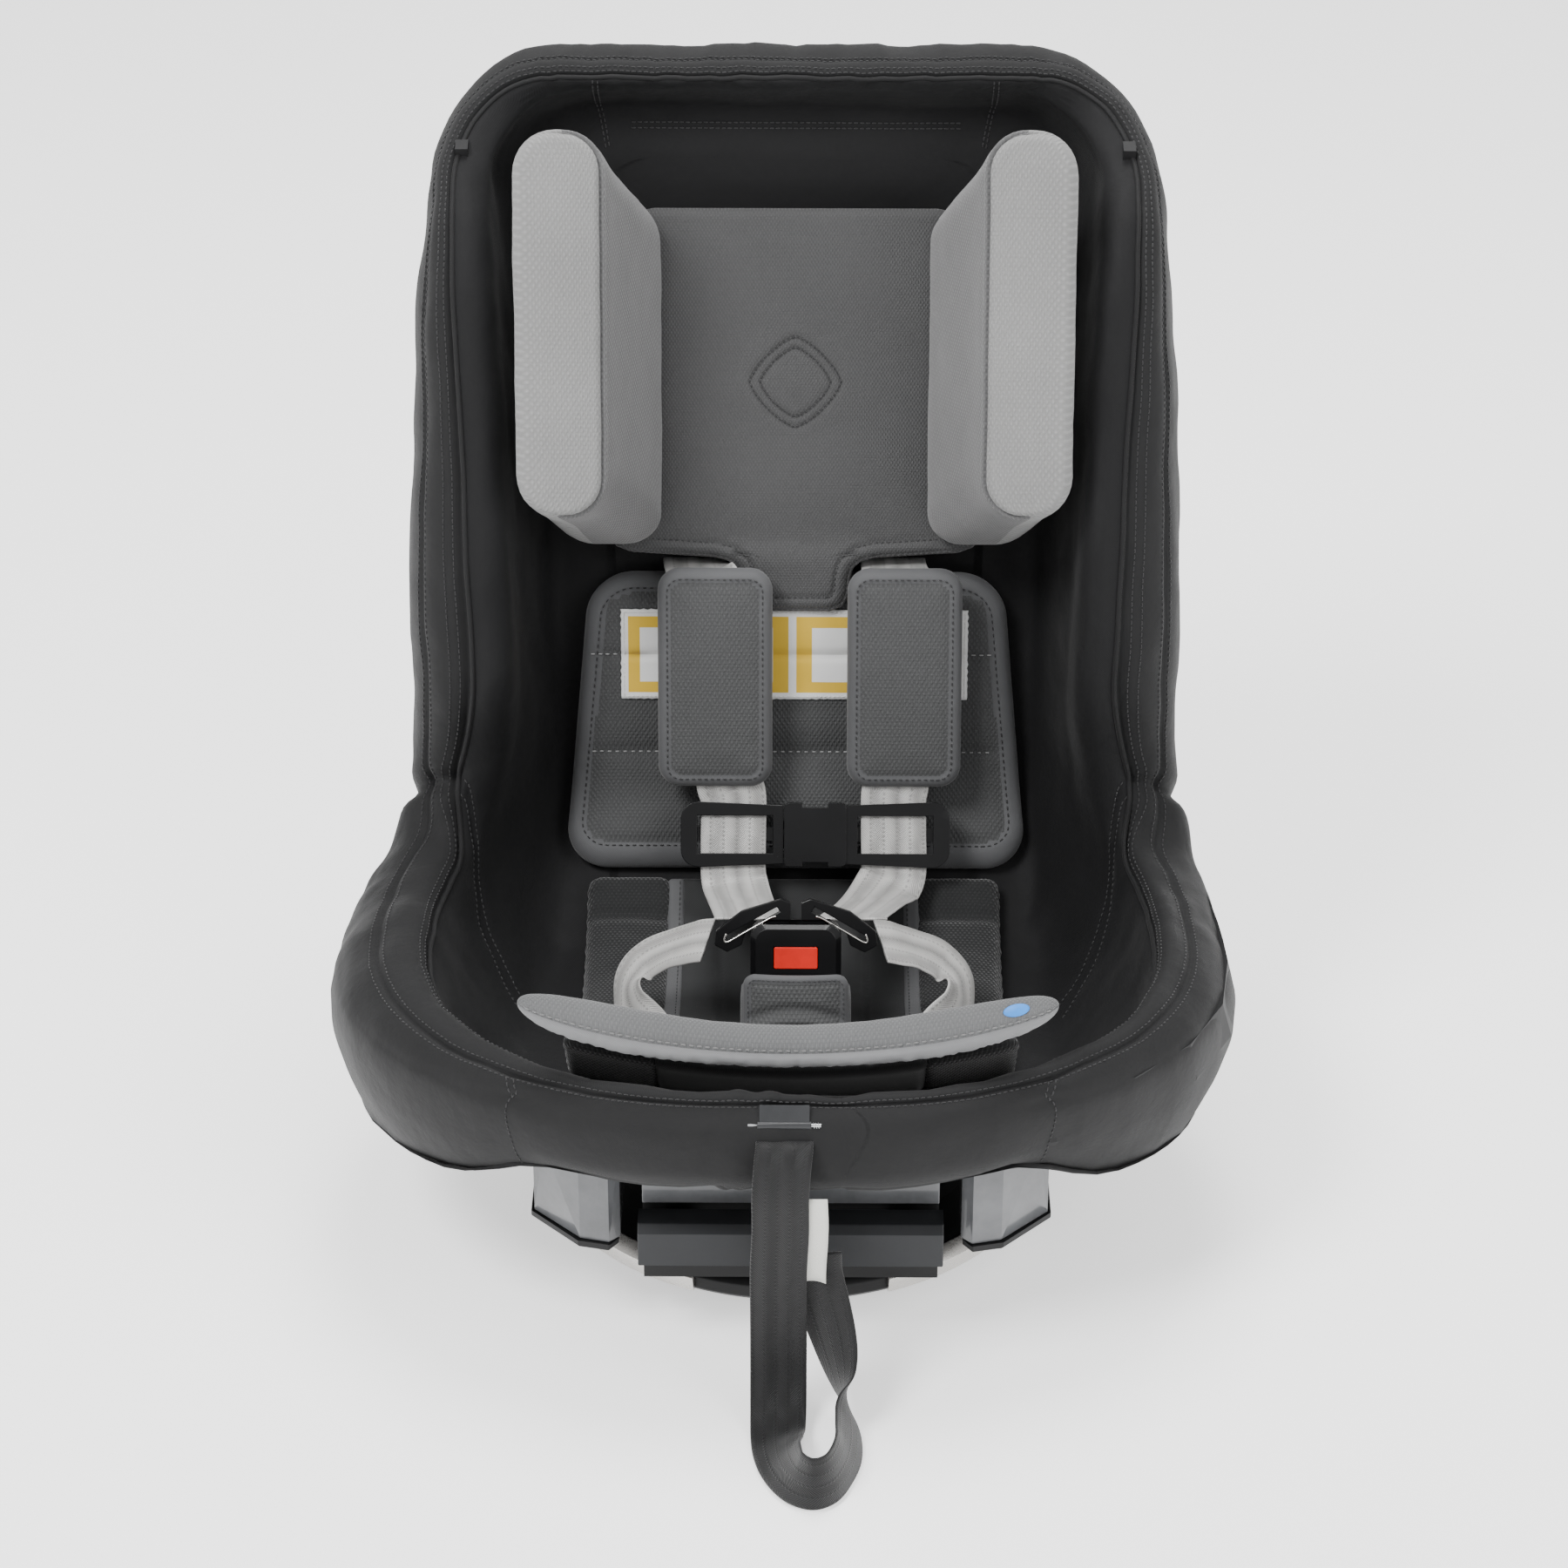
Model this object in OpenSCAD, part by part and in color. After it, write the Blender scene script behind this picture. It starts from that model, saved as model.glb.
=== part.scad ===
// Convertible child car seat: a fabric-covered bucket with a five-point harness and a sliding
// headrest, reclining on a rocker carriage that stands on a round docking hub.
// Millimetres. +X is to the viewer's right, +Y is to the back, +Z is up. The origin is the centre
// of the docking hub at its bottom face.

/* [Bucket] */
// Half width of the bucket at the seat wings
wing_w = 253; // [246:1:258]
// Half width of the bucket at the backrest
back_w = 208; // [204:1:212]
// Height of the side walls above the backrest
wall_h = 100; // [92:1:106]
// Thickness of the fabric cover
cover_t = 3.5; // [2.5:0.5:4]
// Thickness of the plastic shell
shell_t = 5; // [4:0.5:6]
// Depth of the shell's underside below the cover's face
belly_h = 18; // [16:1:19]

/* [Pads] */
// Thickness of the lumbar pad and the seat pad
pad_t = 14; // [10:1:16]
// Half width of the headrest
headrest_w = 107; // [100:1:110]
// Front face of the headrest above the backrest
headrest_h = 26; // [24:1:30]
// Reach of the bolsters in front of the backrest
bolster_h = 114; // [100:1:118]

/* [Harness] */
// Width of the harness webbing
web_w = 38; // [36:1:40]
// Thickness of the webbing
web_t = 1.6; // [1.2:0.2:2]
// Width of the adjuster strap
strap_w = 30; // [28:1:32]
// Sideways place of the buckle
buckle_x = 2; // [0:1:4]

/* [Recline] */
// Height of the recline axis
axis_z = 420; // [418:1:422]
// Depth of the recline axis
axis_y = 20; // [18:1:22]
// Radius of the carriage's saddle about the recline axis
saddle_r = 352; // [351:0.5:353]

/* [Hub] */
// Radius of the hub's rest face
hub_r = 120; // [116:1:124]
// Radius of the hub's outer edge
rim_r = 141; // [138:1:144]
// Radius of the docking socket
socket_r = 95; // [90:1:98]
// Depth of the socket's guiding wall
socket_depth = 12; // [10:1:12]

/* [Hidden] */

// The bucket is drawn in bent coordinates: a across, b along the seat from front to top, and h
// above the cover's face. STEP is the spacing in b of every table below.
STEP = 60;
BACK_STEP = [15.55, 58];
PAN = [[-180, 165], [-130, 132], [-76, 108], [-18, 96], [42, 94], [98, 112], [140, 154], [159.7, 211]];
SPINE = [for (i = [0:14]) i < 8 ? PAN[i] : PAN[7] + (i - 7) * BACK_STEP];
BACK_TILT = 75;
TILT_FROM = 3;
TILT_TO = 9;

// Half widths and heights along b
FLOOR_W = [154, 156, 156, 154, 150, 144, 141, 141, 142, 144, 146, 148, 150, 150, 150];
RIM_W = [198, 202, 204, 204, 199, 187, 174, 166, 166, 168, 170, 173, 175, 176, 176];
RIM_H = [13, 46, 70, 82, 82, 78, 90, wall_h, wall_h, wall_h, 95, 95, 82, 36, 20];
OUT_W = [for (i = [0:14]) lookup(i, [
  [0, wing_w - 5], [2, wing_w], [3, wing_w], [4, wing_w - 4], [5, wing_w - 18], [6, back_w + 9],
  [7, back_w + 7], [8, back_w + 7], [9, back_w + 6], [11, back_w], [13, back_w - 12], [14, back_w - 18]])];
OUT_H = [-25, 6, 28, 35, 38, 42, 48, 50, 50, 50, 48, 46, 38, 8, 2];
SKIRT_H = [-40, -18, -2, 5, 5, 0, -4, -8, -8, -8, -8, -8, -10, -16, -18];
BELLY_H = [for (i = [0:14]) -belly_h];

ARC_N = 6;
SIDE_N = 24;
GAP = 0.9;

function ext(v, i) =
  i < 0 ? v[0] + (v[0] - v[1]) * (-i)
  : i > len(v) - 1 ? v[len(v) - 1] + (v[len(v) - 1] - v[len(v) - 2]) * (i - len(v) + 1)
  : v[i];
function along(v, s) =
  let (i = floor(s), t = s - i, p = ext(v, i - 1), q = ext(v, i), r = ext(v, i + 1), u = ext(v, i + 2))
  0.5 * (2 * q + (r - p) * t + (2 * p - 5 * q + 4 * r - u) * t * t + (3 * q - p - 3 * r + u) * t * t * t);
function ease(t) = let (u = max(0, min(1, t))) u * u * (3 - 2 * u);
function tilt(b) = BACK_TILT * ease((b / STEP - TILT_FROM) / (TILT_TO - TILT_FROM));
function lift(b) = [0, -sin(tilt(b)), cos(tilt(b))];
function at(a, b, h) = let (s = along(SPINE, b / STEP)) [a, s[0], s[1]] + h * lift(b);
function unit(v) = v / norm(v);
function turned(list) = [for (i = [len(list) - 1:-1:0]) list[i]];
function flat(lists) = [for (list = lists) each list];
function mixed(v, w, t) = [for (i = [0:14]) v[i] + (w[i] - v[i]) * t];
function raised(v, d) = [for (x = v) x + d];

// One side of a closed loop round the bucket, from its front corner to its top corner.
function dish_side(w, front, front_r, top, top_r) = concat(
  [for (j = [0:ARC_N]) let (f = 90 * j / ARC_N, b = front + front_r * (1 - cos(f)))
    [along(w, b / STEP) - front_r * (1 - sin(f)), b]],
  [for (j = [1:SIDE_N - 1]) let (b = front + front_r + (top - top_r - front - front_r) * j / SIDE_N)
    [along(w, b / STEP), b]],
  [for (j = [0:ARC_N]) let (f = 90 * j / ARC_N, b = top - top_r * (1 - sin(f)))
    [along(w, b / STEP) - top_r * (1 - cos(f)), b]]);
function both_sides(side, h) = concat(
  [for (p = side) at(p[0], p[1], along(h, p[1] / STEP))],
  [for (p = turned(side)) at(-p[0], p[1], along(h, p[1] / STEP))]);
function dish_loop(w, front, front_r, top, top_r, h) =
  both_sides(dish_side(w, front, front_r, top, top_r), h);

// The cover's outer face as loops, from the middle of the floor over the rim to the skirt.
COVER = [
  dish_loop(raised(FLOOR_W, -34), 58, 86, 746, 34, OUT_H * 0),
  dish_loop(FLOOR_W, 26, 112, 774, 42, OUT_H * 0),
  dish_loop(mixed(FLOOR_W, RIM_W, 0.66), 8, 145, 783, 46, RIM_H * 0.5),
  dish_loop(raised(RIM_W, -4), -4, 165, 787, 50, raised(RIM_H, -7)),
  dish_loop(raised(RIM_W, 12), -14, 178, 793, 56, RIM_H),
  dish_loop(raised(mixed(RIM_W, OUT_W, 0.75), 4), -22, 192, 801, 62, mixed(RIM_H, OUT_H, 0.3)),
  dish_loop(OUT_W, -26, 212, 806, 66, OUT_H),
  dish_loop(raised(OUT_W, -9), -21, 204, 802, 62, SKIRT_H)
];

// The underside of the shell as loops, from the middle of the belly to the skirt.
BELLY = [
  dish_loop(raised(FLOOR_W, -50), 70, 70, 741, 34, BELLY_H),
  dish_loop(raised(FLOOR_W, 6), 34, 110, 770, 42, BELLY_H),
  dish_loop(raised(mixed(FLOOR_W, OUT_W, 0.62), 6), 6, 150, 786, 54, mixed(BELLY_H, SKIRT_H, 0.45))
];

function face_normal(loops, k, i) =
  let (n = len(loops[0]),
       across = loops[min(k + 1, len(loops) - 1)][i] - loops[max(k - 1, 0)][i],
       round_ = loops[k][(i + 1) % n] - loops[k][(i + n - 1) % n])
  unit(cross(across, round_));
function offset_loops(loops, d) =
  [for (k = [0:len(loops) - 1]) [for (i = [0:len(loops[k]) - 1]) loops[k][i] + d * face_normal(loops, k, i)]];

// A closed solid through a stack of loops, each with its two mirrored halves. Its ends are closed
// by strips between mirrored points.
module stack(loops) {
  n = len(loops[0]);
  last = (len(loops) - 1) * n;
  polyhedron(
    points = flat(loops),
    faces = concat(
      [for (k = [0:len(loops) - 2]) for (i = [0:n - 1]) let (j = (i + 1) % n)
        each [[k * n + i, (k + 1) * n + i, (k + 1) * n + j], [k * n + i, (k + 1) * n + j, k * n + j]]],
      [for (j = [0:n / 2 - 2]) each [[j, j + 1, n - 2 - j], [j, n - 2 - j, n - 1 - j]]],
      [for (j = [0:n / 2 - 2]) each [
        [last + n - 2 - j, last + j + 1, last + j], [last + n - 1 - j, last + n - 2 - j, last + j]]]),
    convexity = 12);
}

// A closed solid between an upper and a lower grid of points with the same rows and columns.
module plate(upper, lower) {
  rows = len(upper);
  cols = len(upper[0]);
  total = rows * cols;
  edge = concat(
    [for (j = [0:cols - 2]) [j, j + 1]],
    [for (i = [0:rows - 2]) [i * cols + cols - 1, (i + 1) * cols + cols - 1]],
    [for (j = [0:cols - 2]) [total - 1 - j, total - 2 - j]],
    [for (i = [0:rows - 2]) [(rows - 1 - i) * cols, (rows - 2 - i) * cols]]);
  polyhedron(
    points = concat(flat(upper), flat(lower)),
    faces = concat(
      [for (i = [0:rows - 2]) for (j = [0:cols - 2]) let (p = i * cols + j)
        each [[p, p + cols, p + cols + 1], [p, p + cols + 1, p + 1]]],
      [for (i = [0:rows - 2]) for (j = [0:cols - 2]) let (p = total + i * cols + j)
        each [[p + cols + 1, p + cols, p], [p + 1, p + cols + 1, p]]],
      [for (e = edge) each [[e[0], e[1], e[1] + total], [e[0], e[1] + total, e[0] + total]]]),
    convexity = 8);
}

// A flat strap through points p, each with the direction its face looks in.
module ribbon(p, face, w, t) {
  n = len(p);
  along_ = [for (i = [0:n - 1]) unit(p[min(i + 1, n - 1)] - p[max(i - 1, 0)])];
  side = [for (i = [0:n - 1]) unit(cross(along_[i], face[min(i, len(face) - 1)]))];
  up = [for (i = [0:n - 1]) unit(cross(side[i], along_[i]))];
  ring = [for (i = [0:n - 1]) each [
    p[i] + side[i] * w / 2 + up[i] * t / 2, p[i] - side[i] * w / 2 + up[i] * t / 2,
    p[i] - side[i] * w / 2 - up[i] * t / 2, p[i] + side[i] * w / 2 - up[i] * t / 2]];
  polyhedron(
    points = ring,
    faces = concat(
      [[0, 3, 2], [0, 2, 1]],
      [[4 * n - 4, 4 * n - 3, 4 * n - 2], [4 * n - 4, 4 * n - 2, 4 * n - 1]],
      [for (i = [0:n - 2]) for (c = [0:3]) let (d = (c + 1) % 4)
        each [[4 * i + c, 4 * i + d, 4 * i + 4 + d], [4 * i + c, 4 * i + 4 + d, 4 * i + 4 + c]]]),
    convexity = 8);
}

// A coil spring along +Z from the origin.
module coil(r, wire, length, turns) {
  sides = 6;
  per_turn = 12;
  n = turns * per_turn;
  function mid(i) = [r * cos(360 * i / per_turn), r * sin(360 * i / per_turn), length * i / n];
  ring = [for (i = [0:n]) let (f = 360 * i / per_turn, out = [cos(f), sin(f), 0])
    each [for (c = [0:sides - 1]) mid(i) + wire / 2 * (cos(360 * c / sides) * out + [0, 0, sin(360 * c / sides)])]];
  polyhedron(
    points = ring,
    faces = concat(
      [[for (c = [0:sides - 1]) c]],
      [[for (c = [sides - 1:-1:0]) n * sides + c]],
      [for (i = [0:n - 1]) for (c = [0:sides - 1]) let (d = (c + 1) % sides)
        each [[i * sides + c, (i + 1) * sides + c, (i + 1) * sides + d],
              [i * sides + c, (i + 1) * sides + d, i * sides + d]]]),
    convexity = 10);
}

// One loop of a pad: a rounded rectangle from b0 to b1, w to each side of mid, at height h.
PAD_ARC = 4;
function pad_side(w, b0, b1, r, cuts, narrowing) = [for (p = concat(
    [for (j = [0:PAD_ARC]) let (f = 90 * j / PAD_ARC) [w - r * (1 - sin(f)), b0 + r * (1 - cos(f))]],
    [for (j = [1:cuts - 1]) [w, b0 + r + (b1 - b0 - 2 * r) * j / cuts]],
    [for (j = [0:PAD_ARC]) let (f = 90 * j / PAD_ARC) [w - r * (1 - cos(f)), b1 - r * (1 - sin(f))]]))
  [p[0] - narrowing * (p[1] - b0) / (b1 - b0), p[1]]];
function pad_loop(mid, w, b0, b1, r, h, cuts, narrowing = 0) =
  let (side = pad_side(w, b0, b1, r, cuts, narrowing))
  concat([for (p = side) at(mid + p[0], p[1], h)], [for (p = turned(side)) at(mid - p[0], p[1], h)]);
module pad(mid, w, b0, b1, r, h0, h1, cuts, narrowing = 0) {
  inset = 3;
  stack([
    pad_loop(mid, w - inset, b0 + inset, b1 - inset, r - inset, h0, cuts, narrowing),
    pad_loop(mid, w, b0, b1, r, h0 + (h1 - h0) * 0.35, cuts, narrowing),
    pad_loop(mid, w - 1, b0 + 1, b1 - 1, r - 1, h0 + (h1 - h0) * 0.7, cuts, narrowing),
    pad_loop(mid, w - 2 * inset, b0 + 2 * inset, b1 - 2 * inset, max(r - 2 * inset, 2), h1, cuts, narrowing)]);
}
// What hangs straight down in front of the backrest follows its plane, not the bend below it.
function hung(a, b, h) = let (s = PAN[7] + (b / STEP - 7) * BACK_STEP) [a, s[0], s[1]] + h * lift(STEP * TILT_TO);
function hung_loop(mid, w, b0, b1, r, h) =
  let (side = pad_side(w, b0, b1, r, 2, 0))
  concat([for (p = side) hung(mid + p[0], p[1], h)], [for (p = turned(side)) hung(mid - p[0], p[1], h)]);

// ---- docking hub -----------------------------------------------------------------------------
hub_top = 32;
socket_top = 20;
jaw_z = 13;
jaw_t = 5;
jaw_w = 30;
jaw_nose = 5;
jaw_len = 22;
jaw_travel = 6;
pocket_r = 124;
SCREW_Y = [-60, 58];
fit = 0.3;

module about_axis() {
  translate([0, axis_y, axis_z]) rotate([0, 90, 0]) children();
}

module dock_hub() {
  color("#1b1c1e")
  difference() {
    rotate_extrude($fn = 120)
      polygon([[0, socket_top], [0, hub_top], [112, hub_top], [rim_r - 5, 24], [rim_r, 19],
        [rim_r, 12], [rim_r - 4, 8], [hub_r, 0], [socket_r, 0], [socket_r, socket_depth],
        [socket_r + 2, socket_depth], [socket_r + 2, socket_top]]);
    for (side = [-1, 1])
      translate([side * (socket_r - 2 + (pocket_r - socket_r + 2) / 2), 0, jaw_z + jaw_t / 2])
        cube([pocket_r - socket_r + 2, jaw_w + 2 * fit, jaw_t + 2 * fit], center = true);
    for (x = [-60, 60], y = SCREW_Y)
      translate([x, y, socket_top - 1]) cylinder(r = 2.2, h = hub_top, $fn = 24);
  }
}

blade_from = 22;
blade_to = 66;
module hub_steel_ring() {
  color("#c9ccd0")
  for (side = [-1, 1])
    difference() {
      rotate([0, 0, -90 + side * (blade_from + blade_to) / 2 - (blade_to - blade_from) / 2])
        rotate_extrude(angle = blade_to - blade_from, $fn = 120)
          polygon([[rim_r + fit, 11], [rim_r + 2.5, 11], [rim_r + 3.5, 20], [rim_r - 3, 26.5],
            [rim_r - 5, 24.5 + fit], [rim_r + fit, 19.2]]);
      rotate([0, 0, -90 + side * blade_to]) translate([rim_r, 0, 26]) rotate([0, 45, 0])
        cube([9, 18, 30], center = true);
    }
}

module jaw(side) {
  translate([side * (socket_r - jaw_nose + jaw_len / 2), 0, jaw_z + jaw_t / 2])
    difference() {
      cube([jaw_len, jaw_w, jaw_t], center = true);
      translate([side * (-jaw_len / 2), 0, -jaw_t / 2]) rotate([0, 45, 0])
        cube([3.4, jaw_w + 2, 3.4], center = true);
    }
}
module latch_jaws_left() {
  color("#9a9ea3") jaw(-1);
}
module latch_jaws_right() {
  color("#9a9ea3") jaw(1);
}
module jaw_springs() {
  spring_len = pocket_r - (socket_r - jaw_nose + jaw_len) - 2 * fit;
  color("#b8bcc0")
  for (side = [-1, 1], y = [-8, 8])
    translate([side * (socket_r - jaw_nose + jaw_len + fit), y, jaw_z + jaw_t / 2])
      rotate([0, side * 90, 0]) coil(1.7, 0.6, spring_len, 4);
}

// ---- carriage --------------------------------------------------------------------------------
car_w = 80;
car_front = -148;
car_back = 120;
flange_w = 85;
flange_t = 6;
handle_z = 57;
handle_h = 25;
handle_front = -172;
arm_x = 60;
arm_w = 16;
arm_t = 8;
arm_len = 45;
handle_travel = 12;

module carriage() {
  color("#232427")
  difference() {
    union() {
      translate([-car_w, car_front, hub_top]) cube([2 * car_w, car_back - car_front, 90]);
      intersection() {
        about_axis() cylinder(r = saddle_r + flange_t, h = 2 * flange_w, center = true, $fn = 180);
        translate([-flange_w, car_front, hub_top]) cube([2 * flange_w, car_back - car_front, 90]);
      }
    }
    about_axis() cylinder(r = saddle_r, h = 300, center = true, $fn = 180);
    for (side = [-1, 1]) {
      translate([side * arm_x - arm_w / 2 - fit, car_front - 1, handle_z + 8 - fit])
        cube([arm_w + 2 * fit, arm_len + 36, arm_t + 2 * fit]);
      translate([side * arm_x, 0, hub_top - 1]) for (y = SCREW_Y)
        translate([0, y, 0]) cylinder(r = 1.9, h = 14, $fn = 24);
    }
    translate([0, 10, hub_top - 1]) cylinder(r = 45, h = 22, $fn = 64);
  }
}

panel_t = 4;
module carriage_front_panel() {
  color("#6f7276")
  translate([0, car_front - panel_t - fit, 0]) difference() {
    translate([-car_w, 0, handle_z + handle_h + 2]) cube([2 * car_w, panel_t, 24]);
    for (side = [-1, 1]) translate([side * 74, panel_t + 1, handle_z + handle_h + 18])
      rotate([90, 0, 0]) cylinder(r = 1.6, h = 2 * panel_t, $fn = 24);
  }
}

module saddle_liners() {
  liner_t = 0.35;
  color("#3a3b3e")
  for (side = [-1, 1]) difference() {
    intersection() {
      about_axis() translate([0, 0, side * 67 - 9]) cylinder(r = saddle_r - 0.02, h = 18, $fn = 180);
      translate([-car_w, car_front + 4, hub_top]) cube([2 * car_w, car_back - car_front - 8, 90]);
    }
    about_axis() cylinder(r = saddle_r - liner_t, h = 300, center = true, $fn = 180);
  }
}

module carriage_screws() {
  color("#9a9ea3")
  for (x = [-arm_x, arm_x], y = SCREW_Y) {
    translate([x, y, socket_top + 0.5]) cylinder(r = 1.7, h = 22, $fn = 24);
    translate([x, y, socket_top - 2.6]) difference() {
      cylinder(r = 4, h = 2.4, $fn = 32);
      translate([0, 0, -1]) cylinder(r = 1.5, h = 2.2, $fn = 6);
    }
  }
}

module release_handle() {
  grip_t = 18;
  color("#26282a")
  union() {
    difference() {
      translate([-82, handle_front, handle_z]) cube([164, grip_t, handle_h]);
      translate([-70, handle_front + 6, handle_z - 1]) cube([140, grip_t, 13]);
      translate([0, handle_front, handle_z + handle_h]) rotate([45, 0, 0])
        cube([200, 6, 6], center = true);
    }
    for (side = [-1, 1])
      translate([side * arm_x - arm_w / 2, handle_front + grip_t - 1, handle_z + 8])
        cube([arm_w, arm_len + 1, arm_t]);
    translate([-78, handle_front + 6, handle_z + 8]) cube([156, 4, 6]);
  }
}

module handle_springs() {
  arm_end = handle_front + 18 + arm_len;
  color("#b8bcc0")
  for (side = [-1, 1])
    translate([side * arm_x, arm_end + fit, handle_z + 12])
      rotate([-90, 0, 0]) coil(2.8, 0.9, car_front - 1 + arm_len + 36 - arm_end - 2 * fit, 5);
}

// ---- bucket ----------------------------------------------------------------------------------
UNDER_COVER = offset_loops(COVER, -cover_t);
LINER_TOP = offset_loops(COVER, -cover_t - GAP);
OUTER_LOOPS = [for (k = [0:len(LINER_TOP) - 1]) LINER_TOP[len(LINER_TOP) - 1 - k]];
// Shell faces run from the belly, round the outside and up to the rim.
SHELL_OUT = concat(BELLY, [OUTER_LOOPS[0], OUTER_LOOPS[1], OUTER_LOOPS[2]]);
SHELL_IN = offset_loops(SHELL_OUT, shell_t);
LINER_OUT = offset_loops(SHELL_OUT, shell_t + GAP);

module shell() {
  color("#17181a") stack(concat(SHELL_OUT, turned(SHELL_IN)));
}

module foam_liner() {
  color("#d9d9d6") stack(concat(LINER_OUT, turned([for (k = [0:4]) LINER_TOP[k]])));
}

module seat_cover() {
  color("#141416") stack(concat(UNDER_COVER, turned(COVER)));
}

rail_x = 67;
rail_w = 14;
rail_out = saddle_r - 0.5;
module arc_bar(r_in, r_out, x0, x1, y0, y1) {
  difference() {
    intersection() {
      about_axis() translate([0, 0, x0]) cylinder(r = r_out, h = x1 - x0, $fn = 180);
      translate([x0 - 1, y0, 40]) cube([x1 - x0 + 2, y1 - y0, 160]);
    }
    about_axis() translate([0, 0, x0 - 1]) cylinder(r = r_in, h = x1 - x0 + 2, $fn = 180);
  }
}

module rocker_rails() {
  color("#2c2d30")
  for (side = [-1, 1])
    arc_bar(saddle_r - 11, rail_out, side * rail_x - rail_w / 2, side * rail_x + rail_w / 2, -140, 60);
}

keeper_lip = saddle_r + flange_t + 0.6;
module glide_keepers() {
  color("#2c2d30")
  for (side = [-1, 1])
    union() {
      arc_bar(saddle_r - 11, keeper_lip + 5, side * 88 - 2, side * 88 + 2, -128, 50);
      arc_bar(keeper_lip, keeper_lip + 5, side * 84.5 - 2.5, side * 84.5 + 2.5, -128, 50);
    }
}

cowl_in = 92;
cowl_out = 140;
cowl_front = -158;
cowl_back = 44;
cowl_z = 62;
module cowl(side) {
  difference() {
    linear_extrude(height = 60)
      polygon([[side * cowl_in, cowl_front + 6], [side * (cowl_in + 6), cowl_front],
        [side * (cowl_out - 26), cowl_front + 4], [side * cowl_out, cowl_front + 30],
        [side * cowl_out, cowl_back - 20], [side * (cowl_in + 14), cowl_back],
        [side * cowl_in, cowl_back]]);
    translate([0, 0, -cowl_z]) about_axis() cylinder(r = saddle_r - 6, h = 400, center = true, $fn = 180);
  }
}
module cowl_left() {
  color("#77797d") translate([0, 0, cowl_z]) cowl(-1);
}
module cowl_right() {
  color("#77797d") translate([0, 0, cowl_z]) cowl(1);
}
module cowl_trims() {
  trim_t = 4;
  color("#1d1e20")
  for (side = [-1, 1])
    translate([0, 0, cowl_z - trim_t - 0.2]) linear_extrude(height = trim_t)
      polygon([[side * (cowl_in + 1), cowl_front + 5], [side * (cowl_in + 6), cowl_front - 2],
        [side * (cowl_out - 25), cowl_front + 2], [side * (cowl_out + 2), cowl_front + 30],
        [side * (cowl_out + 2), cowl_back - 20], [side * (cowl_in + 14), cowl_back + 2],
        [side * (cowl_in + 1), cowl_back]]);
}

// ---- pads ------------------------------------------------------------------------------------
pad_gap = 1.6;
lumbar_w = 136;
lumbar_x = 1;
lumbar_from = 326;
lumbar_to = 508;
lumbar_narrowing = 16;
module lumbar_pad() {
  color("#55575a")
  pad(lumbar_x, lumbar_w, lumbar_from, lumbar_to, 26, pad_gap, pad_gap + pad_t, 9, lumbar_narrowing);
}

module label_patch() {
  color("#e8e6df")
  stack([for (h = [0.2, 1.2]) pad_loop(lumbar_x - 2, 100, 428, 486, 4, pad_gap + pad_t + h, 4)]);
}

seat_cols = 12;
seat_rows = 14;
seat_from = 36;
seat_to = 320;
edge_w = 141;
edge_rise = 26;
function seat_half(b) = edge_w - 17 * ease((b - 40) / 220);
function seat_rise(a, b) = 18 * ease((86 - b) / 56) + edge_rise * pow(a / edge_w, 2) * ease((150 - b) / 100);
function seat_points(h) =
  [for (i = [0:seat_rows]) let (b = seat_from + (seat_to - seat_from) * i / seat_rows)
    [for (j = [0:seat_cols]) let (a = seat_half(b) * (2 * j / seat_cols - 1)) at(a, b, h + seat_rise(a, b))]];
module seat_pad() {
  color("#3f4144")
  plate(seat_points(pad_gap + pad_t - 2), seat_points(pad_gap + 0.4));
}

// The seat pad's front edge, a padded roll that curls up at its ends.
edge_y = -163;
edge_z = 193;
edge_n = 18;
edge_lean = 30;
module seat_pad_edge() {
  sides = 10;
  function mid(i) = let (a = edge_w * (2 * i / edge_n - 1)) [a, edge_y, edge_z + edge_rise * pow(a / edge_w, 2)];
  function plump(i) = sqrt(max(0.12, 1 - pow(abs(2 * i / edge_n - 1), 8)));
  ring = [for (i = [0:edge_n]) each [for (c = [0:sides - 1]) let (f = 360 * c / sides)
    mid(i) + plump(i) * [0, 7 * cos(f) * cos(edge_lean) - 11 * sin(f) * sin(edge_lean) * -1,
      -7 * cos(f) * sin(edge_lean) + 11 * sin(f) * cos(edge_lean)]]];
  color("#96989b")
  polyhedron(
    points = ring,
    faces = concat(
      [[for (c = [sides - 1:-1:0]) c]],
      [[for (c = [0:sides - 1]) edge_n * sides + c]],
      [for (i = [0:edge_n - 1]) for (c = [0:sides - 1]) let (d = (c + 1) % sides)
        each [[i * sides + c, i * sides + d, (i + 1) * sides + d],
              [i * sides + c, (i + 1) * sides + d, (i + 1) * sides + c]]]),
    convexity = 4);
}

module edge_tag() {
  color("#2f78c4")
  translate([118, edge_y - 9, edge_z + 26]) rotate([60, 0, 0]) scale([1.4, 0.7, 1])
    cylinder(r = 5, h = 1, $fn = 40);
}

// ---- headrest --------------------------------------------------------------------------------
rest_from = 522;
rest_to = 720;
tongue_from = 488;
tongue_h = pad_gap + pad_t + 3.6;
module guide_rails() {
  color("#3a3b3e")
  for (side = [-1, 1])
    stack([for (h = [1.2, 3.4]) pad_loop(side * 46, 6, rest_from + 6, rest_to - 6, 3, h, 2)]);
}

module headrest_plate() {
  color("#1d1e20")
  stack([for (h = [3.9, 8.4]) pad_loop(0, headrest_w - 12, rest_from + 14, rest_to - 8, 16, h, 2)]);
}

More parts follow.
